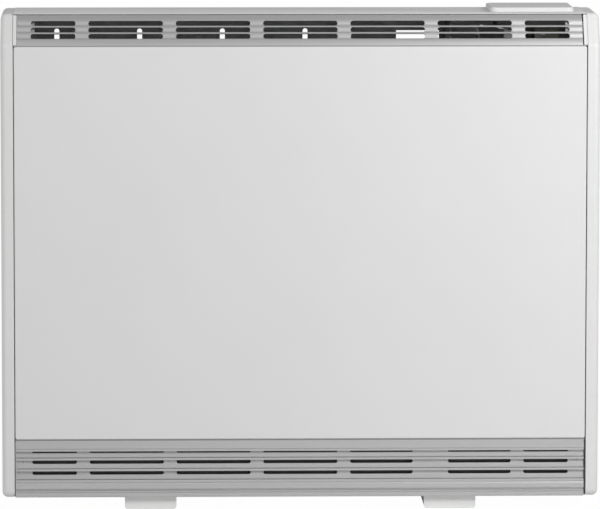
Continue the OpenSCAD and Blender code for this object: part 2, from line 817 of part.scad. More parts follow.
module lower_grille() {
    hook = tray_lip_y - front_y;
    color("silver") difference() {
        union() {
            along_x(-lower_half, lower_half)
                polygon([for (p = lower_face) [front_y + p[0], louvres_top + p[1]]]);
            block([-lower_half, lower_half], [front_y + 2, front_y + hook], [foot_h, foot_h + sheet_t]);
            both_sides()
                block([-lower_half, -lower_half + grille_t], [front_y + 2, flange_y],
                    [foot_h + 6, louvres_top - 4]);
        }
        for (i = [0:2], s = lower_spans)
            along_y(front_y + face_d / 2, front_y + lower_grille_d + 1)
                translate([0, louvres_top - recess_drops[i] - recess_heights[i] / 2])
                    slot_2d(s, recess_heights[i]);
    }
}

// Feet and wall brackets ---------------------------------------------------------------

foot_y0 = front_y + foot_set_back;
foot_peg_ys = [foot_y0 + 30, foot_y0 + foot_d - 30];

// Places children at the pegs of the left foot
module at_foot_pegs() {
    for (y = foot_peg_ys) translate([-foot_x, y, foot_h]) children();
}

module foot_outline(w, r) {
    translate([-w / 2 + r, 0]) square([w - 2 * r, foot_h]);
    translate([-w / 2, r]) square([w, foot_h - r]);
    for (x = [-1, 1]) translate([x * (w / 2 - r), r]) circle(r);
}

module foot() {
    color("whitesmoke") {
        difference() {
            along_y(foot_y0, foot_y0 + foot_d)
                translate([-foot_x, 0]) foot_outline(foot_w, foot_corner_r);
            difference() {
                block([-foot_x - foot_w / 2 + foot_wall, -foot_x + foot_w / 2 - foot_wall],
                    [foot_y0 + foot_wall, foot_y0 + foot_d - foot_wall],
                    [foot_wall + foot_corner_r / 2, foot_h + 1]);
                at_foot_pegs() cylinder(h = 3 * foot_h, r = 2 * foot_peg_r, center = true);
            }
        }
        at_foot_pegs() translate([0, 0, -1]) cylinder(h = 1 + sheet_t - 0.1, r = foot_peg_r);
    }
}

module left_foot() {
    foot();
}

module right_foot() {
    mirror([1, 0, 0]) foot();
}

wall_hole_zs = [bracket_z + 14, bracket_z + 14 + wall_hole_pitch];

module wall_brackets() {
    x = [-bracket_x - bracket_w / 2, -bracket_x + bracket_w / 2];
    color("silver") both_sides() difference() {
        union() {
            block(x, [back_y, back_y + bracket_t], [bracket_z - bracket_flange_h, bracket_z]);
            block(x, [back_y, wall_y], [bracket_z - bracket_t, bracket_z]);
            block(x, [wall_y - bracket_t, wall_y], [bracket_z - bracket_t, bracket_z + bracket_flange_h]);
        }
        at_bracket_screws() screw_clearances(pilot_gap, 5);
        for (z = wall_hole_zs)
            translate([-bracket_x, 0, z]) rod_y(wall_y - bracket_t - 1, wall_y + 1, wall_hole_r);
    }
}

// Core ---------------------------------------------------------------------------------

// A hairpin element: two legs along X, joined by a half ring at the left, grown to radius r
module element_path(i, r, x_end) {
    low_z = core_z0 + (2 * i - 1.5) * leg_pitch;
    translate([bend_x, core_y, low_z + leg_pitch / 2]) {
        rotate([90, 0, 0])
            rotate([0, 0, 90])
                rotate_extrude(angle = 180) translate([leg_pitch / 2, 0]) circle(r);
        for (z = [-1, 1])
            translate([0, 0, z * leg_pitch / 2]) rod_x(0, x_end - bend_x, r);
    }
}

module heating_element(i) {
    low_z = core_z0 + (2 * i - 1.5) * leg_pitch;
    color("dimgray") {
        element_path(i, element_r, sheath_end_x);
        for (z = [low_z, low_z + leg_pitch])
            translate([0, core_y, z]) rod_x(sheath_end_x - 1, partition_x + terminal_reach, element_r / 2);
    }
}

module brick(column, layer, row) {
    x = core_x0 + (column - 1) * brick_w;
    y = core_y0 + (row == "front" ? 0 : brick_d);
    z = core_z0 + (layer - 1) * brick_h;
    g = brick_gap / 2;
    color("saddlebrown") difference() {
        block([x + g, x + brick_w - g], [y + g / 2, y + brick_d - g / 2], [z, z + brick_h]);
        for (i = [1:element_count]) element_path(i, element_groove_r, core_x1 + 1);
        for (share = [1, 3])
            block([x + share * brick_w / 4 - channel_w / 2, x + share * brick_w / 4 + channel_w / 2],
                [core_y - channel_d, core_y + channel_d], [z - 1, z + brick_h + 1]);
    }
}

module duct_block(z0, z1) {
    block([aperture_x0, aperture_x1], [aperture_y0, aperture_y1], [z0, z1]);
}

module base_insulation() {
    color("tan") difference() {
        block([bay_left_x, partition_x - sheet_t], [bay_front_y, bay_back_y], [floor_top, core_z0]);
        duct_block(floor_top - 1, core_z0 + 1);
        for (y = foot_peg_ys) translate([-foot_x, y, floor_top - 1]) cylinder(h = 2, r = foot_peg_r + 1);
    }
}

module top_insulation() {
    color("tan") difference() {
        block([bay_left_x, partition_x - sheet_t], [bay_front_y, bay_back_y], [core_z1, chamber_z]);
        duct_block(core_z1 - 1, chamber_z + 1);
    }
}

module front_insulation() {
    color("tan") block([core_x0, core_x1], [bay_front_y, core_y0], [core_z0, core_z1]);
}

module rear_insulation() {
    color("tan") difference() {
        block([core_x0, core_x1], [core_y1, bay_back_y], [core_z0, core_z1]);
        at_bracket_screws() screw_clearances(1, screw_l + 1);
    }
}

module left_insulation() {
    color("tan") block([bay_left_x, core_x0], [bay_front_y, bay_back_y], [core_z0, core_z1]);
}

module right_insulation() {
    color("tan") difference() {
        block([core_x1, partition_x - sheet_t], [bay_front_y, bay_back_y], [core_z0, core_z1]);
        for (i = [1:element_count]) element_path(i, element_groove_r, partition_x + 1);
    }
}

// Lid, tray and knobs ------------------------------------------------------------------

// Places children at the centre of each hinge
module at_hinges() {
    for (x = [-1, 1]) translate([lid_x + x * hinge_pitch / 2, hinge_y, hinge_z]) children();
}

module control_tray() {
    rim_gap = 0.8;
    rim_x = lid_w / 2 - lid_wall - rim_gap;
    rim_y0 = lid_y0 + lid_wall + rim_gap;
    rim_y1 = back_y - 0.5;
    rim_corner_r = lid_corner_r - lid_wall - rim_gap;
    ear_x = knuckle_l / 2 + near_gap;
    color("dimgray") difference() {
        union() {
            translate([lid_x, (rim_y0 + rim_y1) / 2, casing_h])
                linear_extrude(sheet_t) rounded_rect(2 * rim_x, rim_y1 - rim_y0, rim_corner_r);
            translate([lid_x, tray_y, tray_under_z])
                linear_extrude(tray_depth + tiny) rounded_rect(tray_w, tray_d, tray_corner_r);
            at_hinges() for (x = [-ear_x - ear_t, ear_x]) {
                rod_x(x, x + ear_t, knuckle_r);
                block([x, x + ear_t], [-knuckle_r, knuckle_r], [flange_top_z - tiny - hinge_z, 0]);
            }
        }
        translate([lid_x, tray_y, tray_floor_z])
            linear_extrude(tray_depth + 10)
                rounded_rect(tray_w - 2 * tray_wall, tray_d - 2 * tray_wall, tray_corner_r - tray_wall);
        for (x = [charge_x, output_x])
            translate([x, tray_y, 0]) rod_z(tray_under_z - 1, tray_floor_z + 1, spindle_r + running_gap);
        at_hinges() rod_x(-knuckle_l, knuckle_l, hinge_pin_r + pilot_gap / 2);
    }
}

module control_fascia() {
    gap = tray_wall + near_gap;
    color("gray") difference() {
        translate([lid_x, tray_y, tray_floor_z])
            linear_extrude(fascia_t)
                rounded_rect(tray_w - 2 * gap, tray_d - 2 * gap, tray_corner_r - tray_wall);
        for (x = [charge_x, output_x])
            translate([x, tray_y, 0]) rod_z(tray_floor_z - 1, fascia_z + 1, spindle_r + 2);
    }
}

module lid_outline(inset) {
    rounded_rect(lid_w - 2 * inset, lid_d - 2 * inset, lid_corner_r - inset);
}

// A shallow cover whose front and sides reach down past the tray's rim, hinged at the back
module control_lid() {
    side_z = casing_h + 0.4;
    back_z = flange_top_z + near_gap;
    top_z = casing_h + lid_rise;
    lid_y = (lid_y0 + lid_y1) / 2;
    color("whitesmoke") difference() {
        union() {
            difference() {
                translate([lid_x, lid_y, side_z]) linear_extrude(top_z - side_z) lid_outline(0);
                translate([lid_x, lid_y, side_z - 1]) linear_extrude(top_z - lid_wall - side_z + 1)
                    lid_outline(lid_wall);
                block([lid_x - lid_w, lid_x + lid_w], [lid_y1 - lid_corner_r, lid_y1 + 1],
                    [side_z - 1, back_z]);
            }
            at_hinges() {
                rod_x(-knuckle_l / 2, knuckle_l / 2, knuckle_r);
                block([-knuckle_l / 2, knuckle_l / 2], [lid_y1 - 0.5 - hinge_y, -hinge_pin_r - 0.2], [-1, 1]);
            }
        }
        at_hinges() rod_x(-knuckle_l, knuckle_l, hinge_pin_r + running_gap);
    }
}

module lid_hinge_pins() {
    half = knuckle_l / 2 + near_gap + ear_t;
    color("silver") at_hinges() rod_x(-half, half, hinge_pin_r);
}

// A knob with a wide skirt, a fluted barrel and a pointer ridge, on a blind bore
module knob() {
    skirt_h = knob_h / 5;
    barrel_r = knob_r * 0.78;
    flutes = 20;
    color("white") difference() {
        union() {
            cylinder(h = skirt_h, r = knob_r);
            cylinder(h = knob_h, r = barrel_r);
            block([-1.2, 1.2], [0, knob_r - 0.6], [0, skirt_h + 1]);
        }
        for (i = [1:flutes - 1])
            rotate([0, 0, 90 + i * 360 / flutes])
                translate([barrel_r + 0.7, 0, skirt_h + 0.6]) cylinder(h = knob_h, r = 1.3);
        translate([0, 0, -1]) cylinder(h = knob_h * 2 / 3 + 1 + near_gap, r = spindle_r + pilot_gap);
    }
}

// At rest, the pointers stand at the low end of their turn
module charge_knob() {
    translate([charge_x, tray_y, knob_z]) rotate([0, 0, knob_turn / 2]) knob();
}

module output_knob() {
    translate([output_x, tray_y, knob_z]) rotate([0, 0, knob_turn / 2]) knob();
}

thermostat_w = 34;
thermostat_h = 28;

module charge_spindle() {
    color("silver") translate([charge_x, tray_y, 0])
        rod_z(tray_under_z - thermostat_h + 3, spindle_top_z, spindle_r);
}

module charge_thermostat() {
    color("ivory") difference() {
        block([charge_x - thermostat_w / 2, charge_x + thermostat_w / 2],
            [tray_y - thermostat_w / 2, tray_y + thermostat_w / 2],
            [tray_under_z - thermostat_h, tray_under_z]);
        translate([charge_x, tray_y, 0])
            rod_z(tray_under_z - thermostat_h + 2, tray_under_z + 1, spindle_r + running_gap);
    }
}

// Fine tube from the thermostat to a bulb that lies on the partition
capillary_r = 1;
bulb_r = 3;
bulb_x = partition_x + bulb_r;
bulb_y = front_y + 52;
bulb_z = chamber_z - 40;
bulb_l = 40;
loop = 8;
capillary_route = [
    [charge_x - 0.75 * loop, tray_y - thermostat_w / 2 - capillary_r, tray_under_z - thermostat_h * 0.75],
    [charge_x - 0.75 * loop, front_y + 6.25 * loop, tray_under_z - 1.25 * loop],
    [partition_x + 5.5 * loop, front_y + 5.25 * loop, tray_under_z + loop / 2],
    [partition_x + 4.5 * loop, front_y + 5.4 * loop, tray_under_z + loop],
    [partition_x + 5.25 * loop, front_y + 5.65 * loop, tray_under_z - 1.5 * loop],
    [partition_x + 5 * loop, front_y + 6.25 * loop, chamber_z + 0.75 * loop],
    [bulb_x, bulb_y, bulb_z + bulb_l + loop],
    [bulb_x, bulb_y, bulb_z + bulb_l - capillary_r]
];

module capillary_sensor() {
    color("peru") {
        tube_through(capillary_route, capillary_r);
        translate([bulb_x, bulb_y, 0]) rod_z(bulb_z, bulb_z + bulb_l, bulb_r);
    }
}

// Damper drive -------------------------------------------------------------------------

// Points along the cam's groove, at a signed distance from its middle line: the radius falls
// steadily from cam_max_r as the cam turns through knob_turn
groove_step = 5;
groove_over = 2;
function cam_radius(turn) = cam_max_r - link_travel * turn / knob_turn;
function groove_edge(offset, turns) = [for (t = turns)
    (cam_radius(t) + offset) * [cos(180 + t), sin(180 + t)]];
out_turns = [-groove_over, each [0:groove_step:knob_turn], knob_turn + groove_over];
back_turns = [for (i = [len(out_turns) - 1:-1:0]) out_turns[i]];

module cam_groove() {
    polygon(concat(groove_edge(cam_groove_half, out_turns), groove_edge(-cam_groove_half, back_turns)));
    for (t = [-groove_over, knob_turn + groove_over])
        translate(cam_radius(t) * [cos(180 + t), sin(180 + t)]) circle(cam_groove_half);
}

module output_cam() {
    color("silver") translate([output_x, tray_y, 0]) {
        rod_z(cradle_z - sheet_t, spindle_top_z, spindle_r);
        translate([0, 0, cam_z]) linear_extrude(cam_t) difference() {
            circle(cam_r);
            cam_groove();
        }
    }
}

// A bent strip under the tray that steadies the lower end of the output spindle
module control_cradle() {
    half_w = 15;
    wall_y0 = tray_y - cam_r - 5;
    color("darkgray") difference() {
        union() {
            block([output_x - half_w, output_x + half_w], [wall_y0, tray_y + 8],
                [cradle_z - sheet_t, cradle_z]);
            block([output_x - half_w, output_x + half_w], [wall_y0, wall_y0 + sheet_t],
                [cradle_z - tiny, tray_under_z]);
            block([output_x - half_w, output_x + half_w], [wall_y0 - 10, wall_y0 + tiny],
                [tray_under_z - sheet_t, tray_under_z]);
        }
        translate([output_x, tray_y, 0]) rod_z(cradle_z - 3, cradle_z + 2, spindle_r + running_gap);
    }
}

module damper_link() {
    eye_z = link_z + link_h / 2;
    arm_w = 2 * follower_r + 1;
    arm_y = link_y + link_t;
    slot_h = crank_pin_top_z - crank_pin_z + 2 * follower_r + 3;
    color("silver") difference() {
        union() {
            block([crank_pin_x - eye_half_w, crank_pin_x + eye_half_w], [link_y, arm_y],
                [eye_z - eye_half_h, eye_z + eye_half_h]);
            block([crank_pin_x, follower_x + arm_w / 2], [link_y, arm_y], [link_z, link_z + link_h]);
            block([follower_x - arm_w / 2, follower_x + arm_w / 2], [tray_y - arm_w / 2, arm_y],
                [link_z, link_z + link_h]);
            translate([follower_x, tray_y, 0]) rod_z(link_z + link_h - tiny, cam_z + cam_t - 0.5, follower_r);
        }
        translate([crank_pin_x, 0, eye_z])
            rotate([0, 90, 0])
                along_y(link_y - 1, arm_y + 1) slot_2d([-slot_h / 2, slot_h / 2], 2 * (follower_r + bar_fit));
    }
}

module damper_flap() {
    color("silver") block([damper_x - flap_l, damper_x], [flap_y0, flap_y1],
        [damper_z - damper_spindle_r - flap_t, damper_z - damper_spindle_r]);
}

module damper_spindle() {
    arm_w = 2 * follower_r + 3;
    color("silver") translate([damper_x, 0, damper_z]) {
        rod_y(bearing_ys[0] - 2, bearing_ys[1] + bearing_t + 2, damper_spindle_r);
        rotate([0, -crank_lean, 0]) {
            block([-arm_w / 2, arm_w / 2], [crank_y, crank_y + crank_t], [0, crank_r]);
            rod_y(crank_y, crank_y + crank_t, arm_w / 2);
            translate([0, 0, crank_r]) {
                rod_y(crank_y, crank_y + crank_t, arm_w / 2);
                rod_y(crank_y, link_y + link_t + 1, follower_r);
            }
        }
    }
}

// Wiring -------------------------------------------------------------------------------

earth_x = partition_x + 34;
earth_y = back_in_y - 36;
earth_r = 2;
cutout_y = tray_y + 12;
cutout_z = core_z1 - 30;
cutout_r = 8;
cutout_l = 12;
tab_l = 6;
tab_z = 4;
tab_x = partition_x + cutout_l + tab_l;

module thermal_cutout() {
    color("ivory") translate([0, cutout_y, cutout_z]) {
        rod_x(partition_x, partition_x + cutout_l, cutout_r);
        for (z = [-tab_z, tab_z])
            block([partition_x + cutout_l - tiny, tab_x], [-3, 3], [z - 0.4, z + 0.4]);
    }
}

module terminal_block() {
    ways = 4;
    way = terminal_block_size[0] / ways;
    x0 = cable_x - terminal_block_size[0] / 2;
    z1 = terminal_block_z + terminal_block_size[2];
    color("ivory") difference() {
        block([x0, x0 + terminal_block_size[0]], [back_in_y - terminal_block_size[1], back_in_y],
            [terminal_block_z, z1]);
        for (i = [0:ways - 1])
            translate([x0 + (i + 0.5) * way, 0, 0]) {
                translate([0, back_in_y - terminal_block_size[1] / 2, 0])
                    rod_z(terminal_block_z - 1, z1 + 1, 2.5);
                translate([0, 0, (terminal_block_z + z1) / 2])
                    rod_y(back_in_y - terminal_block_size[1] - 1, back_in_y - terminal_block_size[1] / 2, 3);
            }
        for (i = [1:ways - 1])
            block([x0 + i * way - 0.75, x0 + i * way + 0.75],
                [back_in_y - terminal_block_size[1] - 1, back_in_y - terminal_block_size[1] + 4],
                [terminal_block_z - 1, z1 + 1]);
    }
}

module cable_clamp() {
    clamp_z = cable_z + 36;
    color("ivory") difference() {
        block([cable_x - 14, cable_x + 14], [back_in_y - 14, back_in_y], [clamp_z, clamp_z + 9]);
        translate([cable_x, back_in_y - 7, 0]) rod_z(clamp_z - 1, clamp_z + 10, cable_bore_r - 1);
        block([cable_x - 15, cable_x + 15], [back_in_y - 7.4, back_in_y - 6.6], [clamp_z - 1, clamp_z + 10]);
    }
}

module cable_grommet() {
    color("black") translate([cable_x, 0, cable_z]) difference() {
        union() {
            rod_y(back_in_y - grommet_lip_t, back_in_y, grommet_lip_r);
            rod_y(back_in_y - 0.5, back_y + 0.5, grommet_r);
            rod_y(back_y, back_y + grommet_lip_t, grommet_lip_r);
        }
        rod_y(back_in_y - grommet_lip_t - 1, back_y + grommet_lip_t + 1, cable_bore_r);
    }
}

module earth_stud() {
    nut_r = 4;
    nut_h = 3.2;
    color("goldenrod") translate([earth_x, earth_y, 0]) {
        rod_z(foot_h, floor_top + 20, earth_r);
        for (z = [floor_top, floor_top + 6]) translate([0, 0, z]) cylinder(h = nut_h, r = nut_r, $fn = 6);
    }
}

// Wires from the terminal block to the thermostat and the cut-out, from there to the elements'
// terminals, and from the block to the earth stud
module wiring_harness() {
    block_top = terminal_block_z + terminal_block_size[2];
    wire_y = back_in_y - terminal_block_size[1] / 2;
    way = terminal_block_size[0] / 4;
    pin_x = partition_x + terminal_reach + wire_r;
    top_leg_z = core_z1 - leg_pitch / 2;
    under_z = tray_under_z - thermostat_h;
    straight_l = 8;
    color("firebrick") {
        tube_through([
            [cable_x + way / 2, wire_y, block_top - 6],
            [cable_x + way / 2, wire_y, block_top + 60],
            [charge_x + 8, tray_y + 20, under_z - 40],
            [charge_x + 8, tray_y + 8, under_z - straight_l],
            [charge_x + 8, tray_y + 8, under_z]
        ], wire_r);
        tube_through([
            [charge_x - 8, tray_y, under_z],
            [charge_x - 8, tray_y, under_z - straight_l],
            [charge_x - 8, tray_y + 6, under_z - 30],
            [partition_x + 60, cutout_y, cutout_z + 12],
            [tab_x + straight_l, cutout_y, cutout_z + tab_z],
            [tab_x, cutout_y, cutout_z + tab_z]
        ], wire_r);
        tube_through([
            [tab_x, cutout_y, cutout_z - tab_z],
            [tab_x + straight_l, cutout_y, cutout_z - tab_z],
            [pin_x + 8, core_y + 12, cutout_z - 16],
            [pin_x, core_y, top_leg_z]
        ], wire_r);
        for (i = [0:element_count - 1])
            tube_through([
                [pin_x, core_y, core_z0 + (2 * i + 0.5) * leg_pitch],
                [pin_x, core_y, core_z0 + (2 * i + 1.5) * leg_pitch]
            ], wire_r);
    }
    color("seagreen") tube_through([
        [cable_x - 1.5 * way, wire_y, terminal_block_z + 6],
        [cable_x - 1.5 * way, wire_y, terminal_block_z - 20],
        [earth_x + 20, earth_y + 6, floor_top + 30],
        [earth_x, earth_y, floor_top + 20 + wire_r]
    ], wire_r);
}

base_tray();
back_panel();
top_panel();
left_side_frame();
right_side_frame();
left_end_cap();
right_end_cap();
front_panel();
inner_front_cover();
inner_top_cover();
partition();
upper_grille();
lower_grille();
grille_end_trims();
grille_brackets();
left_foot();
right_foot();
wall_brackets();
casing_screws();
base_insulation();
top_insulation();
front_insulation();
rear_insulation();
left_insulation();
right_insulation();
for (c = [1:brick_columns], l = [1:brick_layers], r = ["front", "rear"])
    brick(c, l, r);
for (i = [1:element_count])
    heating_element(i);
control_tray();
control_fascia();
control_lid();
lid_hinge_pins();
control_cradle();
charge_knob();
charge_spindle();
charge_thermostat();
capillary_sensor();
output_knob();
output_cam();
damper_link();
damper_flap();
damper_spindle();
thermal_cutout();
terminal_block();
cable_clamp();
cable_grommet();
earth_stud();
wiring_harness();
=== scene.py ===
import json
import math

import bmesh
import bpy
import numpy as np
from bpy.props import FloatProperty, FloatVectorProperty, IntProperty, PointerProperty
from mathutils import Matrix, Vector

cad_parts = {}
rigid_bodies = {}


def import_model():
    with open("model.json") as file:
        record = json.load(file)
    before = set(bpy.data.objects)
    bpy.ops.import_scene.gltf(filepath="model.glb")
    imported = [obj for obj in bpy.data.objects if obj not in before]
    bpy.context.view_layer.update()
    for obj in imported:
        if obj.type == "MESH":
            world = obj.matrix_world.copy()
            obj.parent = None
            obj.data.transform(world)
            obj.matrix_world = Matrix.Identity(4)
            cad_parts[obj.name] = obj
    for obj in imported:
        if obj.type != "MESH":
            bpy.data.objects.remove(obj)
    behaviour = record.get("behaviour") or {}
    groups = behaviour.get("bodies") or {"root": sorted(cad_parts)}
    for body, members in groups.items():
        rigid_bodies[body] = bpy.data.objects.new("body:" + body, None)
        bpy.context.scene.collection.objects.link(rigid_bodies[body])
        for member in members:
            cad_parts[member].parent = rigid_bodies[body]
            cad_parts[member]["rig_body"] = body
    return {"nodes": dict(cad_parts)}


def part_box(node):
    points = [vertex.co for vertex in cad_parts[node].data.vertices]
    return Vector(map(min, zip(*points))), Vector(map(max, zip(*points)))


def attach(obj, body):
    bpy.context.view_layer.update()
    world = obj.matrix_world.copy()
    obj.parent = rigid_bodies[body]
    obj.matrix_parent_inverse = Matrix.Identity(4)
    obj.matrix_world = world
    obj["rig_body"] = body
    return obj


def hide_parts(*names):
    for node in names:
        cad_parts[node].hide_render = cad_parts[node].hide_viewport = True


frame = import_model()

bl_info = {
    "name": "Storage Heater",
    "version": (1, 0, 0),
    "blender": (4, 5, 0),
    "location": "View3D > Sidebar > Heater",
    "description": "Dresses the frame of a slim storage heater with finished surfaces",
    "category": "Object",
}

MM = 0.001

# The two axes in each plane, and the one across it
PLANES = {"yz": (1, 2, 0), "xz": (0, 2, 1), "xy": (0, 1, 2)}

# The slope along the top front edge, from the casing's side outline
SLOPE_FOOT_Z = 675.5 * MM
SLOPE_TOP_Y = -59.5 * MM

# Points nearer than this are one point
MERGE = 1e-6

# Length of the straight stretch beside each rounding, which keeps the flats flat
HOLD = 0.6 * MM

# How far a shell's end rows reach in past their roundings
REACH = 0.8 * MM

# Faces that meet at less than the first are one flat face, and edges that turn by more than the
# second are rounded
FLAT, ROUNDED = math.radians(0.4), math.radians(32)


# Settings -----------------------------------------------------------------------------


def length(name, description, mm):
    """A length setting whose default is given in millimetres."""
    return FloatProperty(
        name=name, description=description, default=mm * MM, min=0.0, unit="LENGTH", precision=5
    )


def number(name, description, value, unit="NONE"):
    """A plain number setting."""
    return FloatProperty(name=name, description=description, default=value, unit=unit)


def degrees(name, description, value):
    """An angle setting whose default is given in degrees."""
    return FloatProperty(
        name=name, description=description, default=math.radians(value), unit="ROTATION"
    )


def shade(name, description, *rgb):
    """A colour setting in linear values; one number gives a neutral grey."""
    value = rgb * 3 if len(rgb) == 1 else rgb
    return FloatVectorProperty(
        name=name, description=description, default=value, min=0.0, max=1.0, subtype="COLOR", size=3
    )


class HeaterSizes(bpy.types.PropertyGroup):
    """Sizes of the finished surfaces that the frame leaves open."""

    cap_edge: length("Cap edge", "Rounding of an end cap's outer edge", 8)
    cap_corner: length("Cap corner", "Rounding of the end caps' side outline", 9.5)
    cap_rim: length("Cap rim", "Rounding of an end cap's edge beside the panel", 1.4)
    cap_wall: length("Cap wall", "Wall of an end cap", 2.5)
    panel_bend: length("Panel bend", "Radius of the front panel's folded edges", 1.7)
    panel_corner: length("Panel corner", "Radius of the front panel's corners", 3)
    panel_sheet: length("Panel sheet", "Thickness of the front panel", 1.2)
    grille_edge: length("Grille edge", "Rounding of the grilles' ribs and slots", 0.4)
    sheet_edge: length("Sheet edge", "Rounding of cut sheet edges", 0.25)
    trim_edge: length("Trim edge", "Rounding of the strips beside the upper grille", 0.7)
    foot_edge: length("Foot edge", "Rounding of the feet's edges", 1.4)
    lid_edge: length("Lid edge", "Rounding of the lid's top edge", 2.8)
    lid_corner: length("Lid corner", "Radius of the lid's corners", 10)
    lid_wall: length("Lid wall", "Wall of the lid", 2.2)
    knob_edge: length("Knob edge", "Rounding of a knob's edges", 0.9)
    flute_depth: length("Flute depth", "Depth of the flutes round a knob", 0.55)
    digit_height: length("Digit height", "Height of the numbers on the fascia", 3.4)
    tick_length: length("Tick length", "Length of the marks on the fascia", 2.2)


class HeaterColours(bpy.types.PropertyGroup):
    """Base colours of the finishes."""

    casing: shade("Casing", "Enamel of the casing and the top panel", 0.76, 0.76, 0.755)
    panel: shade("Front panel", "Enamel of the front panel", 0.71)
    cap: shade("End caps", "Moulded end caps", 0.71, 0.71, 0.705)
    grille: shade("Grilles", "Satin metal of the two grilles", 0.615)
    trim: shade("Trims", "Strips beside the upper grille", 0.74)
    zinc: shade("Zinc", "Galvanised sheet", 0.60, 0.61, 0.62)
    # Painted shade: the inner covers and partition get a near-black tone that stands in for the
    # shade inside the casing, seen through the slots
    dark: shade("Inner sheet", "Heat-darkened inner sheet", 0.14, 0.137, 0.133)
    foot: shade("Feet", "Moulded feet", 0.80, 0.80, 0.795)
    lid: shade("Lid", "Moulded lid", 0.71)
    tray: shade("Tray", "Moulded control tray", 0.30, 0.30, 0.305)
    fascia: shade("Fascia", "Plate under the knobs", 0.10, 0.105, 0.11)
    knob: shade("Knobs", "Moulded knobs", 0.78, 0.78, 0.77)
    mark: shade("Marks", "Numbers and marks on the fascia", 0.82, 0.82, 0.80)


class HeaterStage(bpy.types.PropertyGroup):
    """Camera, light and floor."""

    camera_side: number("Camera side", "Place of the camera along X", -0.2259, "LENGTH")
    camera_back: number("Camera back", "Distance of the camera from the front face", 8.0, "LENGTH")
    camera_height: number("Camera height", "Height of the camera", 1.2448, "LENGTH")
    camera_yaw: degrees("Yaw", "Turn of the camera to the right", 1.611)
    camera_pitch: degrees("Pitch", "Tilt of the camera downwards", 6.217)
    camera_roll: degrees("Roll", "Roll of the camera", 0.035)
    camera_lens: number("Lens", "Focal length in millimetres", 334.08)
    key_power: number("Key", "Power of the light at the right", 23.0, "POWER")
    fill_power: number("Fill", "Power of the light at the left", 30.5, "POWER")
    sky: number("Sky", "Strength of the light from all round", 0.395)
    floor_glow: number("Floor glow", "Share of plain white where the camera sees the floor", 0.985)
    floor_half: number("Floor", "Half the width of the floor", 15.0, "LENGTH")


# Shader maths -------------------------------------------------------------------------


class Socket:
    """A number in a shader tree: arithmetic on it adds the Math nodes."""

    def __init__(self, shading, out):
        self.shading = shading
        self.out = out

    def maths(self, operation, *values):
        """Adds one Math node."""
        return self.shading.node("ShaderNodeMath", {"operation": operation}, dict(enumerate(values)))

    def __add__(self, other):
        return self.maths("ADD", self, other)

    __radd__ = __add__

    def __sub__(self, other):
        return self.maths("SUBTRACT", self, other)

    def __rsub__(self, other):
        return self.maths("SUBTRACT", other, self)

    def __mul__(self, other):
        return self.maths("MULTIPLY", self, other)

    __rmul__ = __mul__

    def ramp(self, low, high, to_low=0.0, to_high=1.0):
        """Maps low..high smoothly to to_low..to_high."""
        return self.shading.node(
            "ShaderNodeMapRange",
            {"interpolation_type": "SMOOTHSTEP"},
            {"Value": self, "From Min": low, "From Max": high, "To Min": to_low, "To Max": to_high},
        )


class Shading:
    """The node tree of a material or of the world."""

    def __init__(self, owner):
        owner.use_nodes = True
        self.tree = owner.node_tree

    def node(self, kind, settings=(), inputs=(), output=0):
        """Adds a node: its settings first, then the values or links of its sockets."""
        new = self.tree.nodes.new(kind)
        for key, value in dict(settings).items():
            setattr(new, key, value)
        for key, value in dict(inputs).items():
            if isinstance(value, Socket):
                self.tree.links.new(value.out, new.inputs[key])
            else:
                new.inputs[key].default_value = value
        return Socket(self, new.outputs[output])

    def shown(self, seen, output):
        """Shows a shader at the tree's output."""
        self.tree.links.new(seen.out, self.tree.nodes[output].inputs["Surface"])


class Finish(Shading):
    """One material. Constants go on the shader's own sockets, and node() adds every other node."""

    def __init__(self, name, constants=()):
        self.material = bpy.data.materials.new(name)
        super().__init__(self.material)
        self.shader = self.tree.nodes["Principled BSDF"]
        for socket, value in dict(constants).items():
            self.shader.inputs[socket].default_value = value

    def place(self, stretch=(1.0, 1.0, 1.0)):
        """Object coordinates, scaled along each axis."""
        here = self.node("ShaderNodeTexCoord", output="Object")
        if tuple(stretch) == (1.0, 1.0, 1.0):
            return here
        return self.node("ShaderNodeVectorMath", {"operation": "MULTIPLY"}, {0: here, 1: stretch})

    def noise(self, scale, detail=2.0, rough=0.5, stretch=(1.0, 1.0, 1.0)):
        """Soft noise between 0 and 1."""
        return self.node(
            "ShaderNodeTexNoise",
            {},
            {"Vector": self.place(stretch), "Scale": scale, "Detail": detail, "Roughness": rough},
        )

    def cells(self, scale, output="Distance", stretch=(1.0, 1.0, 1.0)):
        """A pattern of cells: the distance to the nearest cell's middle, or its own colour."""
        vector = self.place(stretch)
        return self.node("ShaderNodeTexVoronoi", {}, {"Vector": vector, "Scale": scale}, output)

    def mix(self, factor, first, second):
        """Blends two colours."""
        ends = {0: factor, 6: colour(first), 7: colour(second)}
        return self.node("ShaderNodeMix", {"data_type": "RGBA"}, ends, 2)

    def bump(self, height, distance, strength):
        """A relief as high as the distance, in metres, times the strength."""
        return self.node(
            "ShaderNodeBump", {}, {"Height": height, "Distance": distance, "Strength": strength}
        )

    def feed(self, links):
        """Links values to the shader's sockets, and gives the finished material."""
        for socket, value in links.items():
            self.tree.links.new(value.out, self.shader.inputs[socket])
        return self.material


def colour(value):
    """Adds full opacity to a colour, and passes a link on as it is."""
    return value if isinstance(value, Socket) else (*tuple(value)[:3], 1.0)


def scaled(rgb, factor):
    """A lighter or darker shade of a colour."""
    return tuple(min(1.0, c * factor) for c in rgb)


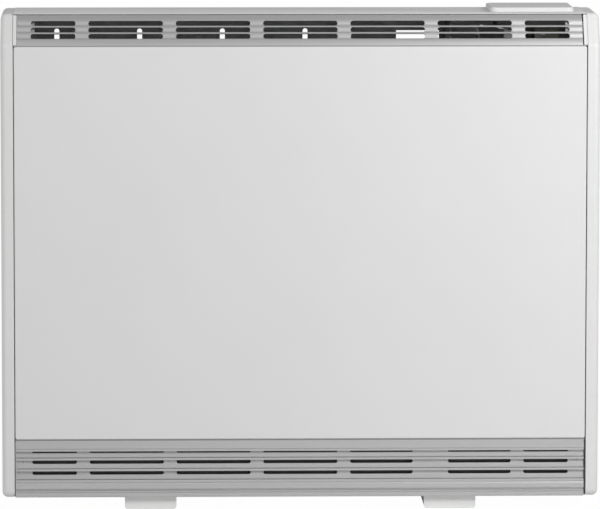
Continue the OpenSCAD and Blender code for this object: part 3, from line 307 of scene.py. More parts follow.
def enamel(name, rgb, matt):
    """Stoved powder coat: fine orange peel, a faint drift of tone, and a slightly uneven gloss."""
    f = Finish(name, {"IOR": 1.5, "Coat Weight": 0.12, "Coat Roughness": 0.25})
    tone = f.mix(f.noise(5.0, 3.0), scaled(rgb, 0.975), scaled(rgb, 1.02))
    orange_peel = f.noise(520.0, 2.0, 0.55)
    return f.feed(
        {
            "Base Color": tone,
            "Roughness": f.noise(38.0, 3.0).ramp(0.3, 0.7, matt - 0.03, matt + 0.05),
            "Normal": f.bump(orange_peel, 0.00005, 0.5),
        }
    )


def moulded(name, rgb, matt, grain=1600.0, depth=0.00004):
    """Moulded plastic: a fine spark-eroded grain with a faint drift of tone."""
    f = Finish(name, {"IOR": 1.48, "Specular IOR Level": 0.45})
    tone = f.mix(f.noise(14.0, 2.0), scaled(rgb, 0.97), scaled(rgb, 1.02))
    pits = f.noise(grain, 3.0, 0.6)
    return f.feed(
        {
            "Base Color": tone,
            "Roughness": f.noise(90.0, 2.0).ramp(0.3, 0.7, matt - 0.03, matt + 0.05),
            "Normal": f.bump(pits, depth, 0.35),
        }
    )


def satin_metal(name, rgb):
    """Satin extrusion: fine drawing lines along X in its tone, gloss and relief."""
    f = Finish(name, {"IOR": 1.5, "Metallic": 0.9})
    lines = f.noise(1.0, 3.0, 0.6, (3.0, 1500.0, 1500.0))
    drift = f.noise(7.0, 2.0)
    tone = f.mix(lines * 0.7 + drift * 0.3, scaled(rgb, 0.95), scaled(rgb, 1.04))
    return f.feed(
        {
            "Base Color": tone,
            "Roughness": lines.ramp(0.3, 0.7, 0.46, 0.55),
            "Normal": f.bump(lines, 0.00003, 0.25),
        }
    )


def galvanised(name, rgb):
    """Zinc-coated sheet: crystals some millimetres across, each with its own tone and gloss."""
    f = Finish(name, {"Metallic": 0.9, "IOR": 1.5})
    crystal = f.cells(150.0, output="Color", stretch=(1.0, 1.0, 0.8))
    grey = f.node("ShaderNodeSeparateColor", {}, {"Color": crystal}, "Red")
    cloud = f.noise(9.0, 4.0)
    tone = f.mix(grey * 0.6 + cloud * 0.4, scaled(rgb, 0.84), scaled(rgb, 1.12))
    return f.feed(
        {
            "Base Color": tone,
            "Roughness": grey.ramp(0.0, 1.0, 0.34, 0.52),
            "Normal": f.bump(f.noise(400.0, 2.0), 0.00003, 0.3),
        }
    )


def rolled_steel(name, rgb, metal, matt):
    """Plain rolled steel: short streaks along X and cloudy oxide."""
    f = Finish(name, {"Metallic": metal, "IOR": 1.5})
    streak = f.noise(1.0, 3.0, 0.6, (12.0, 220.0, 220.0))
    cloud = f.noise(12.0, 4.0, 0.6)
    tone = f.mix(streak * 0.4 + cloud * 0.6, scaled(rgb, 0.7), scaled(rgb, 1.25))
    return f.feed(
        {
            "Base Color": tone,
            "Roughness": cloud.ramp(0.3, 0.7, matt - 0.06, matt + 0.1),
            "Normal": f.bump(streak, 0.00003, 0.3),
        }
    )


def plated_steel(name, rgb, matt=0.28):
    """Bright plated steel with fine turning marks."""
    f = Finish(name, {"Metallic": 1.0, "IOR": 1.5})
    marks = f.noise(2400.0, 2.0)
    tone = f.mix(f.noise(160.0, 3.0), scaled(rgb, 0.88), scaled(rgb, 1.08))
    return f.feed(
        {
            "Base Color": tone,
            "Roughness": f.noise(300.0, 2.0).ramp(0.3, 0.7, matt - 0.05, matt + 0.08),
            "Normal": f.bump(marks, 0.00002, 0.25),
        }
    )


def fibre_board(name, rgb):
    """Pressed insulation board: matted fibres and soft lumps."""
    f = Finish(name, {"Specular IOR Level": 0.15})
    fibre = f.noise(700.0, 4.0, 0.7)
    lumps = f.noise(60.0, 3.0)
    return f.feed(
        {
            "Base Color": f.mix(fibre * 0.5 + lumps * 0.5, scaled(rgb, 0.85), scaled(rgb, 1.08)),
            "Roughness": fibre.ramp(0.2, 0.8, 0.86, 0.98),
            "Normal": f.bump(fibre + lumps, 0.0003, 0.5),
        }
    )


def fired_brick(name, rgb):
    """Dense iron-bearing brick: dark grains in a fired body, with open pores."""
    f = Finish(name, {"Specular IOR Level": 0.25})
    grains = f.cells(650.0).ramp(0.15, 0.45)
    cloud = f.noise(25.0, 4.0)
    pores = f.noise(420.0, 2.0).ramp(0.62, 0.72)
    tone = f.mix(grains * 0.6 + cloud * 0.4, scaled(rgb, 0.55), scaled(rgb, 1.15))
    return f.feed(
        {
            "Base Color": tone,
            "Roughness": cloud.ramp(0.3, 0.7, 0.75, 0.92),
            "Normal": f.bump(grains - pores, 0.0002, 0.6),
        }
    )


def soft_sleeve(name, rgb, matt):
    """Rubber or silicone: smooth, slightly dusty."""
    f = Finish(name, {"IOR": 1.45})
    dust = f.noise(120.0, 3.0).ramp(0.45, 0.75)
    return f.feed(
        {
            "Base Color": f.mix(dust * 0.35, rgb, scaled(rgb, 1.6)),
            "Roughness": dust.ramp(0.0, 1.0, matt - 0.05, matt + 0.15),
            "Normal": f.bump(f.noise(900.0, 2.0), 0.00003, 0.3),
        }
    )


def printed(name, rgb):
    """Screen-printed ink: even, with a slightly broken gloss."""
    f = Finish(name, {"IOR": 1.45})
    speckle = f.noise(2600.0, 2.0)
    return f.feed(
        {
            "Base Color": f.mix(speckle, scaled(rgb, 0.92), scaled(rgb, 1.04)),
            "Roughness": speckle.ramp(0.3, 0.7, 0.42, 0.55),
        }
    )


# The finish of each material slot, filled by finishes()
FINISHES = {}


def finishes():
    """The finish of each material slot, made once."""
    c = bpy.context.scene.heater_colours
    makers = {
        "white_enamel": lambda: enamel("casing_enamel", c.casing, 0.40),
        "cap_enamel": lambda: moulded("cap_plastic", c.cap, 0.42),
        "panel_enamel": lambda: enamel("panel_enamel", c.panel, 0.34),
        "trim_white": lambda: moulded("trim_plastic", c.trim, 0.34, 1600.0, 0.00002),
        "silver_grille": lambda: satin_metal("grille_metal", c.grille),
        "zinc_sheet": lambda: galvanised("galvanised_sheet", c.zinc),
        # Painted shade: a near-black tone on the inner sheets stands in for the shade inside the
        # casing
        "dark_steel": lambda: rolled_steel("darkened_steel", c.dark, 0.6, 0.55),
        "screw_steel": lambda: plated_steel("screw_plating", (0.62, 0.62, 0.60)),
        "foot_plastic": lambda: moulded("foot_plastic", c.foot, 0.50, 1100.0, 0.00006),
        "tray_plastic": lambda: moulded("tray_plastic", c.tray, 0.52, 1100.0, 0.00006),
        "fascia_plastic": lambda: moulded("fascia_plastic", c.fascia, 0.40),
        "lid_plastic": lambda: moulded("lid_plastic", c.lid, 0.40),
        "knob_plastic": lambda: moulded("knob_plastic", c.knob, 0.38, 2200.0, 0.00002),
        "insulation_board": lambda: fibre_board("insulation_board", (0.62, 0.58, 0.50)),
        "storage_brick": lambda: fired_brick("storage_brick", (0.20, 0.085, 0.055)),
        "element_steel": lambda: rolled_steel("element_sheath", (0.16, 0.15, 0.13), 0.8, 0.5),
        "moulded_ceramic": lambda: moulded("ceramic_body", (0.72, 0.70, 0.63), 0.35),
        "copper_tube": lambda: plated_steel("tinned_tube", (0.60, 0.58, 0.55), 0.35),
        "grommet_rubber": lambda: soft_sleeve("grommet_rubber", (0.03, 0.03, 0.03), 0.6),
        "stud_brass": lambda: plated_steel("stud_brass", (0.70, 0.53, 0.24), 0.3),
        "wire_sleeve": lambda: soft_sleeve("wire_sleeve", (0.42, 0.06, 0.04), 0.45),
        "marks": lambda: printed("mark_ink", c.mark),
    }
    for slot, make in makers.items():
        if slot not in FINISHES:
            FINISHES[slot] = make()
    return FINISHES


# Surfaces -----------------------------------------------------------------------------


def placed(flat, depth, plane):
    """Puts flat points (..., 2) at a depth across the named plane, as points (..., 3)."""
    first, second, across = PLANES[plane]
    out = np.empty(flat.shape[:-1] + (3,))
    out[..., first] = flat[..., 0]
    out[..., second] = flat[..., 1]
    out[..., across] = depth
    return out


def rounded_outline(corners, radius, steps=10):
    """Rounds a convex outline, given anticlockwise.

    Each corner becomes an arc centre + radius * (cos a, sin a), where a turns from one edge's
    normal to the next, with a short straight stretch before and after it. Returns the base
    points, the unit normals and the radius, so that a point drawn in by d is
    base + (radius - d) * normal."""
    corners = np.asarray(corners, float)
    ahead = np.roll(corners, -1, 0) - corners
    ahead /= np.linalg.norm(ahead, axis=1)[:, None]
    after = np.stack([ahead[:, 1], -ahead[:, 0]], 1)
    before = np.roll(after, 1, 0)
    meet = (before + after) / (1 + (before * after).sum(1))[:, None]
    centre = corners - meet * radius
    start = np.arctan2(before[:, 1], before[:, 0])
    turn = (np.arctan2(after[:, 1], after[:, 0]) - start) % (2 * math.pi)
    angle = start[:, None] + turn[:, None] * np.linspace(0, 1, steps + 1)
    angle = np.concatenate([angle[:, :1], angle, angle[:, -1:]], 1)
    normal = np.stack([np.cos(angle), np.sin(angle)], -1)
    base = np.repeat(centre[:, None], steps + 3, 1)
    base[:, 0] -= HOLD * np.roll(ahead, 1, 0)
    base[:, -1] += HOLD * ahead
    return base.reshape(-1, 2), normal.reshape(-1, 2), radius


def carried(outline, inset, depth, plane):
    """Carries a profile round an outline: point (u, v) is base(u) + (radius - inset(v)) *
    normal(u), at depth(v)."""
    base, normal, radius = outline
    flat = base[:, None] + (radius - inset)[:, None] * normal[:, None]
    return placed(flat, depth, plane)


def shell(outline, start, end, edge, rim, wall, plane, steps):
    """A thin closed shell, open towards start: the outline carried along a profile.

    With t from 0 to a right angle, the profile runs out of the hollow along its inner rounding,
    round the rim as inset = rim (1 - sin t) and depth = start + rim (1 - cos t), and over the
    outer edge as inset = edge (1 - cos t) and depth = end - edge (1 - sin t). The inner rounding
    is the outer one, drawn in by the wall, and never under a fifth of a millimetre."""
    way = 1.0 if end > start else -1.0
    t = np.linspace(0, math.pi / 2, steps + 1)
    inner = max(edge - wall, 0.2 * MM)
    inset = [
        [wall + inner + REACH],
        (wall + inner * (1 - np.cos(t)))[::-1],
        [wall, wall],
        rim * (1 - np.sin(t)),
        [0, 0],
        edge * (1 - np.cos(t)),
        [edge + REACH],
    ]
    depth = [
        [wall],
        (wall + inner * (1 - np.sin(t)))[::-1],
        [abs(end - start) - HOLD, abs(end - start)],
        abs(end - start) - rim * (1 - np.cos(t)),
        [abs(end - start) - rim - HOLD, edge + HOLD],
        edge * (1 - np.sin(t)),
        [0],
    ]
    return carried(outline, np.concatenate(inset), end - way * np.concatenate(depth), plane)


def grid_faces(rows, columns, wrap_rows=False, wrap_columns=False):
    """The quads of a grid of points, as rows of four indices."""
    r, c = np.meshgrid(
        np.arange(rows if wrap_rows else rows - 1),
        np.arange(columns if wrap_columns else columns - 1),
        indexing="ij",
    )
    r2, c2 = (r + 1) % rows, (c + 1) % columns
    quads = [r * columns + c, r * columns + c2, r2 * columns + c2, r2 * columns + c]
    return np.stack(quads, -1).reshape(-1, 4)


def grid_patch(points, wrap_rows=False, wrap_columns=False):
    """A grid of points, with its faces."""
    rows, columns = points.shape[:2]
    return points.reshape(-1, 3), grid_faces(rows, columns, wrap_rows, wrap_columns).tolist()


def closed(points):
    """A grid of points that is wrapped round, with its faces, and with one flat face over the
    ring of its last column and one over that of its first."""
    rows, columns = points.shape[:2]
    points, faces = grid_patch(points, wrap_rows=True)
    ring = np.arange(rows) * columns
    faces.append((ring + columns - 1).tolist())
    faces.append(ring[::-1].tolist())
    return points, faces


def bar_patch(low, high):
    """A closed box between two corners."""
    u = np.array([[0, 0], [1, 0], [1, 1], [0, 1]], float)
    ends = [placed(u, k, "xy") for k in (0.0, 1.0)]
    return closed(np.stack(ends, 1) * np.subtract(high, low) + low)


def turned(profile, centre, steps, plane="xy", wave=None):
    """Turns a profile of (radius, height) pairs in a plane round centre: point (a, v) is
    radius(v) * (cos a, sin a) at height(v). wave(a, height) may scale the radius."""
    a = np.arange(steps) * 2 * math.pi / steps
    radius, height = np.asarray(profile, float).T
    rim = radius[None] * np.ones((steps, 1))
    if wave is not None:
        rim = rim * wave(a[:, None], height[None])
    flat = rim[..., None] * np.stack([np.cos(a), np.sin(a)], -1)[:, None]
    return placed(flat, np.broadcast_to(height, rim.shape), plane) + np.asarray(centre)


def spun(points, angle, at):
    """Turns points about Z by an angle and carries them to a place."""
    c, s = math.cos(angle), math.sin(angle)
    return points @ np.array([[c, s, 0], [-s, c, 0], [0, 0, 1]]) + np.array(at)


def mirrored(patch):
    """The same patch on the other side of the middle plane."""
    points, faces = patch
    return points * np.array([-1.0, 1.0, 1.0]), faces


def new_object(name, mesh, slot, body, replaces=(), paint=None):
    """Links a finished mesh as a piece that rides on a body."""
    piece = bpy.data.objects.new(name, mesh)
    bpy.context.scene.collection.objects.link(piece)
    mesh.materials.clear()
    mesh.materials.append(finishes()[paint or slot])
    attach(piece, body)
    if replaces:
        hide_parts(*replaces)
    return piece


def shade_by_angle(mesh, angle):
    """Shades a mesh smooth, with a sharp edge where two faces meet at more than the angle."""
    mesh.polygons.foreach_set("use_smooth", np.ones(len(mesh.polygons), bool))
    mesh.set_sharp_from_angle(angle=math.radians(angle))


def make_piece(name, patches, slot, body, replaces=(), paint=None, sharp=35):
    """Joins patches into one mesh, merges what meets, turns its faces outwards and makes it a
    piece."""
    points, faces, count = [], [], 0
    for patch_points, patch_faces in patches:
        points.append(patch_points)
        faces += [[i + count for i in face] for face in patch_faces]
        count += len(patch_points)
    mesh = bpy.data.meshes.new(name)
    mesh.from_pydata(np.concatenate(points).tolist(), [], faces)
    bm = bmesh.new()
    bm.from_mesh(mesh)
    bmesh.ops.remove_doubles(bm, verts=bm.verts, dist=MERGE)
    bmesh.ops.dissolve_degenerate(bm, edges=bm.edges, dist=MERGE)
    bmesh.ops.recalc_face_normals(bm, faces=bm.faces)
    bm.to_mesh(mesh)
    bm.free()
    shade_by_angle(mesh, sharp)
    new_object(name, mesh, slot, body, replaces, paint)


def soften(node, slot, width, segments=2, reshape=None):
    """Replaces a CAD node with a copy whose doubles are merged, whose triangles are joined where
    they are flat, and whose edges are rounded where they turn by ROUNDED or more. reshape(bm)
    may alter the copy before its edges are rounded."""
    source = frame["nodes"][node]
    mesh = source.data.copy()
    mesh.name = node + "_skin"
    bm = bmesh.new()
    bm.from_mesh(mesh)
    bmesh.ops.remove_doubles(bm, verts=bm.verts, dist=2 * MERGE)
    bmesh.ops.dissolve_limit(
        bm, angle_limit=FLAT, verts=bm.verts, edges=bm.edges, delimit={"NORMAL"}
    )
    if reshape:
        reshape(bm)
    bm.to_mesh(mesh)
    bm.free()
    if mesh.has_custom_normals:
        mesh.attributes.remove(mesh.attributes["custom_normal"])
    mesh.polygons.foreach_set("use_smooth", np.ones(len(mesh.polygons), bool))
    piece = new_object(mesh.name, mesh, slot, source["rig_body"], (node,))
    bevel = piece.modifiers.new("edges", "BEVEL")
    bevel.width = width
    bevel.segments = segments
    bevel.limit_method = "ANGLE"
    bevel.angle_limit = ROUNDED
    bevel.harden_normals = True


def paint_nodes(slot, *nodes):
    """Gives CAD nodes the finish of their slot."""
    for node in nodes:
        mesh = frame["nodes"][node].data
        mesh.materials.clear()
        mesh.materials.append(finishes()[slot])


# Pieces -------------------------------------------------------------------------------


class HEATER_OT_casing(bpy.types.Operator):
    """Finish the sheet casing: top panel, side frames, base tray, inner covers and partition"""

    bl_idname = "heater.casing"
    bl_label = "Casing"

    # The lip over the slope: where it starts in front of the slope's top, and how far down its
    # outer foot lies in the frame, next to its inner foot
    LIP_START, LIP_DEPTH = 0.3 * MM, 2.3 * MM

    # How far its outer foot then lies under the top, and its inner one in front and under it
    OUTER_FALL = 0.5 * MM
    INNER_OUT, INNER_FALL = 1.2 * MM, 1.15 * MM

    def draw_up(self, bm):
        """Draws the lip over the slope up, so that it all but carries on the top panel's plane."""
        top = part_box("top_panel")[1].z
        for vert in bm.verts:
            if vert.co.y < SLOPE_TOP_Y - self.LIP_START:
                if top - vert.co.z < self.LIP_DEPTH:
                    vert.co.z = top - self.OUTER_FALL
                else:
                    vert.co.y = SLOPE_TOP_Y - self.INNER_OUT
                    vert.co.z = top - self.INNER_FALL

    def execute(self, context):
        sizes = context.scene.heater_sizes
        soften("top_panel", "white_enamel", sizes.sheet_edge, 2, reshape=self.draw_up)
        paint_nodes("white_enamel", "left_side_frame", "right_side_frame", "base_tray")
        # The inner covers and partition carry painted shade: their near-black tone stands in for the
        # shade behind the slots
        paint_nodes("dark_steel", "inner_front_cover", "inner_top_cover", "partition")
        return {"FINISHED"}


class HEATER_OT_end_caps(bpy.types.Operator):
    """Make the two moulded end caps as thin shells with a large outer rounding"""

    bl_idname = "heater.end_caps"
    bl_label = "End caps"

    def execute(self, context):
        sizes = context.scene.heater_sizes
        low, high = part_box("left_end_cap")
        outline = rounded_outline(
            [
                (low.y, low.z),
                (high.y, low.z),
                (high.y, high.z),
                (SLOPE_TOP_Y, high.z),
                (low.y, SLOPE_FOOT_Z),
            ],
            sizes.cap_corner,
        )
        edge, rim, wall = sizes.cap_edge, sizes.cap_rim, sizes.cap_wall
        cap = closed(shell(outline, high.x, low.x, edge, rim, wall, "yz", 10))
        make_piece("left_cap_shell", [cap], "cap_enamel", "casing", ("left_end_cap",))
        make_piece("right_cap_shell", [mirrored(cap)], "cap_enamel", "casing", ("right_end_cap",))
        return {"FINISHED"}


class HEATER_OT_front_panel(bpy.types.Operator):
    """Make the front panel as a folded sheet pan with rolled edges, and the strips that seal the
    seams above and below it"""

    bl_idname = "heater.front_panel"
    bl_label = "Front panel"

    rim: length("Rim", "Rounding of the folded edge's rim", 0.3)
    seal_back: length("Seal place", "How far behind the panel's face the seals start", 1.6)
    seal_depth: length("Seal depth", "Depth of the seals", 2.4)
    seal_h: length("Seal height", "Height of the seals", 1.68)
    seal_gap: length("Seal gap", "Gap between the panel and the seals", 0.02)

    def execute(self, context):
        sizes = context.scene.heater_sizes
        low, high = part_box("front_panel")
        outline = rounded_outline(
            [(low.x, low.z), (high.x, low.z), (high.x, high.z), (low.x, high.z)],
            sizes.panel_corner,
            6,
        )
        bend, sheet = sizes.panel_bend, sizes.panel_sheet
        pan = closed(shell(outline, high.y, low.y, bend, self.rim, sheet, "xz", 6))
        make_piece("front_panel_skin", [pan], "panel_enamel", "casing", ("front_panel",))
        front = low.y + self.seal_back
        strips = [
            bar_patch((low.x, front, z), (high.x, front + self.seal_depth, z + self.seal_h))
            for z in (high.z + self.seal_gap, low.z - self.seal_gap - self.seal_h)
        ]
        make_piece("panel_seal", strips, "tray_plastic", "casing")
        return {"FINISHED"}


class HEATER_OT_grilles(bpy.types.Operator):
    """Finish the sloping outlet grille, the inlet grille, and the strips at the slope's ends"""

    bl_idname = "heater.grilles"
    bl_label = "Grilles"

    foot_band: length("Foot band", "Width of the curved band along the slope's foot", 9.5)
    foot_sink: length("Foot sink", "How far that band falls at the slope's foot", 1.3)
    head_band: length("Head band", "Width of the curved band along the slope's head", 8.5)
    head_sink: length("Head sink", "How far that band falls at the slope's head", 0.9)
    far_gap: length("Far gap", "How far each grille stops short of the right-hand cap", 1.5)
    head_reach: length("Head reach", "How far the slope's head reaches up under the top panel", 1.2)

    # Where the grille starts above the slope's foot and stops below its head
    FOOT_START, HEAD_STOP = 1.0 * MM, 3.0 * MM

    # Points less deep than the first are on the outer face, points nearer the head than the
    # second are at the head, and points nearer the right-hand end than the third are at that end
    FACE_DEPTH, HEAD_DEPTH, END_DEPTH = 0.7 * MM, 0.5 * MM, 0.1 * MM

    # Cuts across each band
    ROWS = 5

    def cut(self, bm):
        """Draws the right-hand end in by the far gap."""
        end = max(vert.co.x for vert in bm.verts)
        for vert in bm.verts:
            if vert.co.x > end - self.END_DEPTH:
                vert.co.x -= self.far_gap

    def bow(self, bm):
        """Bends the slope's two plain bands: with k the share of the band's width from its inner
        edge, the outer face falls by sink * k^2. Draws the head up and the right-hand end in."""
        self.cut(bm)
        foot = np.array([0.0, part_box("front_panel")[0].y, SLOPE_FOOT_Z])
        rise = np.array([0.0, SLOPE_TOP_Y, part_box("top_panel")[1].z]) - foot
        span = np.linalg.norm(rise)
        up = rise / span
        out = np.array([0.0, -up[2], up[1]])
        head = span - self.HEAD_STOP
        shares = [k / self.ROWS for k in range(1, self.ROWS + 1)]
        rows = [self.FOOT_START + self.foot_band * k for k in shares]
        rows += [head - self.head_band * k for k in shares]
        for row in rows:
            every = bm.verts[:] + bm.edges[:] + bm.faces[:]
            bmesh.ops.bisect_plane(bm, geom=every, plane_co=foot + row * up, plane_no=up)
        for vert in bm.verts:
            here = np.array(vert.co) - foot
            along, height = here @ up, here @ out
            if height > -self.FACE_DEPTH:
                low = max(0.0, 1 - (along - self.FOOT_START) / self.foot_band)
                high = max(0.0, 1 - (head - along) / self.head_band)
                fall = self.foot_sink * low**2 + self.head_sink * high**2
                if along > head - self.HEAD_DEPTH:
                    along += self.head_reach
                vert.co = Vector(foot + along * up + (height - fall) * out + here * (1.0, 0, 0))

    def execute(self, context):
        sizes = context.scene.heater_sizes
        soften("upper_grille", "silver_grille", sizes.grille_edge, 2, reshape=self.bow)
        soften("lower_grille", "silver_grille", sizes.grille_edge, 2, reshape=self.cut)
        soften("grille_end_trims", "trim_white", sizes.trim_edge, 3)
        soften("grille_brackets", "zinc_sheet", sizes.sheet_edge, 1)
        return {"FINISHED"}


class HEATER_OT_feet(bpy.types.Operator):
    """Finish the two moulded feet"""

    bl_idname = "heater.feet"
    bl_label = "Feet"

    def execute(self, context):
        for node in ("left_foot", "right_foot"):
            soften(node, "foot_plastic", context.scene.heater_sizes.foot_edge, 3)
        return {"FINISHED"}


class HEATER_OT_back(bpy.types.Operator):
    """Finish the galvanised back panel, the wall brackets and the cable grommet"""

    bl_idname = "heater.back"
    bl_label = "Back"

    rise: length("Rise", "How much higher the vents and the window reach than in the frame", 3)

    # The stretch of the back panel that holds the upper ends of the vents and of the window
    TOPS_X = (-390 * MM, 220 * MM)
    TOPS_Z = (675 * MM, 700 * MM)

    def raise_tops(self, bm):
        """Raises the upper ends of the vents and of the window by the rise."""
        (left, right), (low, high) = self.TOPS_X, self.TOPS_Z
        for vert in bm.verts:
            if left < vert.co.x < right and low < vert.co.z < high:
                vert.co.z += self.rise

    def execute(self, context):
        sizes = context.scene.heater_sizes
        soften("back_panel", "zinc_sheet", sizes.sheet_edge, 1, reshape=self.raise_tops)
        soften("wall_brackets", "zinc_sheet", sizes.sheet_edge, 2)
        soften("cable_grommet", "grommet_rubber", sizes.sheet_edge * 2, 3)
        return {"FINISHED"}


class HEATER_OT_screws(bpy.types.Operator):
    """Make the casing screws and the two small fixings of the lower grille: domed heads with a
    cross recess, on plain shanks"""

    bl_idname = "heater.screws"
    bl_label = "Screws"

    head_r: length("Head radius", "Radius of a screw's head", 3.6)
    head_h: length("Head height", "Height of a screw's head", 2.0)
    shank_r: length("Shank radius", "Radius of a screw's shank", 1.6)
    shank_l: length("Shank length", "Length of a screw's shank", 9.0)
    fixing: number("Fixing size", "Size of the lower grille's fixings beside the screws", 0.74)

    # Turns of a screw that points along +Z: to the wall, into the left-hand end, to the front
    TO_WALL = [[1, 0, 0], [0, 0, -1], [0, 1, 0]]
    INWARDS = [[0, 0, -1], [0, 1, 0], [1, 0, 0]]
    TO_FRONT = [[1, 0, 0], [0, 0, 1], [0, -1, 0]]

    # Where the screws of the left-hand half stand, in millimetres: round the back panel, in the
    # wall bracket, and through the side frame into the cap
    PANEL_X, PANEL_Z = -407.3, np.linspace(60, 665, 4)
    BRACKET_X, BRACKET_Z, BRACKET_SHEET = -270.0, (573, 551), 2.0
    CAP_Z, FRAME_SHEET = (80, 342.5, 605), 1.2

    # Where the lower grille's fixings stand, and how deep in it, in millimetres
    FIXINGS = ((-402.0, 70.4), (401.0, 70.4))
    FIXING_DEPTH = 4.4

    # Half the width of the cross's arms, their length, the width of their sloping sides, their
    # depth, and how steep their ends are beside their sides
    ARM_HALF, ARM_L, ARM_SIDE, ARM_DEPTH = 0.45 * MM, 2.0 * MM, 0.35 * MM, 1.1 * MM
    ARM_END = 0.8

    # How much lower the head's rim is than its middle, as a share of its height
    CROWN = 0.45

    def head(self):
        """A screw along +Z, as a grid of points.

        The head's top is h (1 - crown (r / R)^2), less a cross: both arms are flat-bottomed
        grooves whose sides slope, worked out from the distance to each arm's middle line."""
        steps = 32
        a = np.arange(steps) * 2 * math.pi / steps
        share = np.concatenate([np.linspace(1.0, 0.02, 15), [0.0]])
        r = share[None] * self.head_r * np.ones((steps, 1))
        x, y = r * np.cos(a)[:, None], r * np.sin(a)[:, None]
        arms = np.minimum(
            np.maximum(np.abs(x) - self.ARM_HALF, (np.abs(y) - self.ARM_L) * self.ARM_END),
            np.maximum(np.abs(y) - self.ARM_HALF, (np.abs(x) - self.ARM_L) * self.ARM_END),
        )
        cut = np.clip(-arms / self.ARM_SIDE, 0, 1) * self.ARM_DEPTH
        top = self.head_h * (1 - self.CROWN * share[None] ** 2) - cut
        crown = placed(np.stack([x, y], -1), top, "xy")
        lower = turned(
            [
                (0.0, -self.shank_l),
                (self.shank_r * 0.5, -self.shank_l),
                (self.shank_r, -self.shank_l + self.shank_r),
                (self.shank_r, 0.0),
                (self.head_r * 0.97, 0.0),
                (self.head_r, 0.15 * MM),
            ],
            (0, 0, 0),
            steps,
        )
        return np.concatenate([lower, crown], 1)

    def execute(self, context):
        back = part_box("back_panel")[1].y / MM
        frame_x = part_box("left_end_cap")[1].x / MM + self.FRAME_SHEET
        grille_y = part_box("lower_grille")[0].y / MM + self.FIXING_DEPTH
        sites = [(self.TO_WALL, (self.PANEL_X, back, z)) for z in self.PANEL_Z]
        sites += [
            (self.TO_WALL, (self.BRACKET_X, back + self.BRACKET_SHEET, z)) for z in self.BRACKET_Z
        ]
        sites += [(self.INWARDS, (frame_x, 0.0, z)) for z in self.CAP_Z]
        head = self.head()
        patches = []
        for turn, at in sites:
            patch = grid_patch(head @ np.array(turn, float) + np.array(at) * MM, wrap_rows=True)
            patches += [patch, mirrored(patch)]
        small = head @ np.array(self.TO_FRONT, float) * self.fixing
        for x, z in self.FIXINGS:
            patches.append(grid_patch(small + np.array([x, grille_y, z]) * MM, wrap_rows=True))
        make_piece("screws", patches, "screw_steel", "casing", ("casing_screws",), sharp=40)
        return {"FINISHED"}


class HEATER_OT_lid(bpy.types.Operator):
    """Make the hinged lid: a shallow moulded shell with soft edges and two hinge knuckles"""

    bl_idname = "heater.lid"
    bl_label = "Lid"

    skirt_z: length("Skirt", "Height of the lid's lower edge", 720.4)
    back_z: length("Back edge", "Height of the lower edge along the back", 721.5)
    back_y: length("Back edge start", "Where the lower edge steps up, towards the wall", 60.5)
    rear_y: length("Rear", "Rear face of the lid", 70.5)
    hinge_z: length("Hinge height", "Height of the hinge's axis", 724.0)
    hinge_y: length("Hinge place", "Distance of the hinge's axis behind the middle", 74.0)
    hinge_x: length("Hinge spread", "Distance of each knuckle from the lid's middle", 40.0)
    rim: length("Rim", "Rounding of the lower edge", 0.4)
    web_half: length("Web", "Half the thickness of the web that carries a knuckle", 0.9)

    # A knuckle's section in millimetres: radius, and place along the pin
    KNUCKLE = [(1.33, -8), (1.33, 8), (2.2, 8), (2.4, 7.8), (2.4, -7.8), (2.2, -8)]
    WEB_X = 7.8 * MM

    # How far a web reaches into the lid, and how near it comes to the axis
    WEB_IN, WEB_OUT = 1.0 * MM, 1.6 * MM

    def execute(self, context):
        sizes = context.scene.heater_sizes
        low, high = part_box("control_lid")
        rear = self.rear_y
        outline = rounded_outline(
            [(low.x, low.y), (high.x, low.y), (high.x, rear), (low.x, rear)], sizes.lid_corner
        )
        edge, wall = sizes.lid_edge, sizes.lid_wall
        skin = shell(outline, self.skirt_z, high.z, edge, self.rim, wall, "xy", 8)
        step = skin[:, :, 1] > self.back_y
        skin[step, 2] = np.maximum(skin[step, 2], self.back_z)
        make_piece("lid_shell", [closed(skin)], "lid_plastic", "lid", ("control_lid",))
        middle = (low.x + high.x) / 2
        knuckles = []
        for x in (middle - self.hinge_x, middle + self.hinge_x):
            axis = (x, self.hinge_y, self.hinge_z)
            tube = turned(np.array(self.KNUCKLE) * MM, axis, 40, "yz")
            knuckles.append(grid_patch(tube, wrap_rows=True, wrap_columns=True))
            knuckles.append(
                bar_patch(
                    (x - self.WEB_X, rear - self.WEB_IN, self.hinge_z - self.web_half),
                    (x + self.WEB_X, self.hinge_y - self.WEB_OUT, self.hinge_z + self.web_half),
                )
            )
        make_piece("lid_knuckles", knuckles, "lid_plastic", "lid")
        return {"FINISHED"}


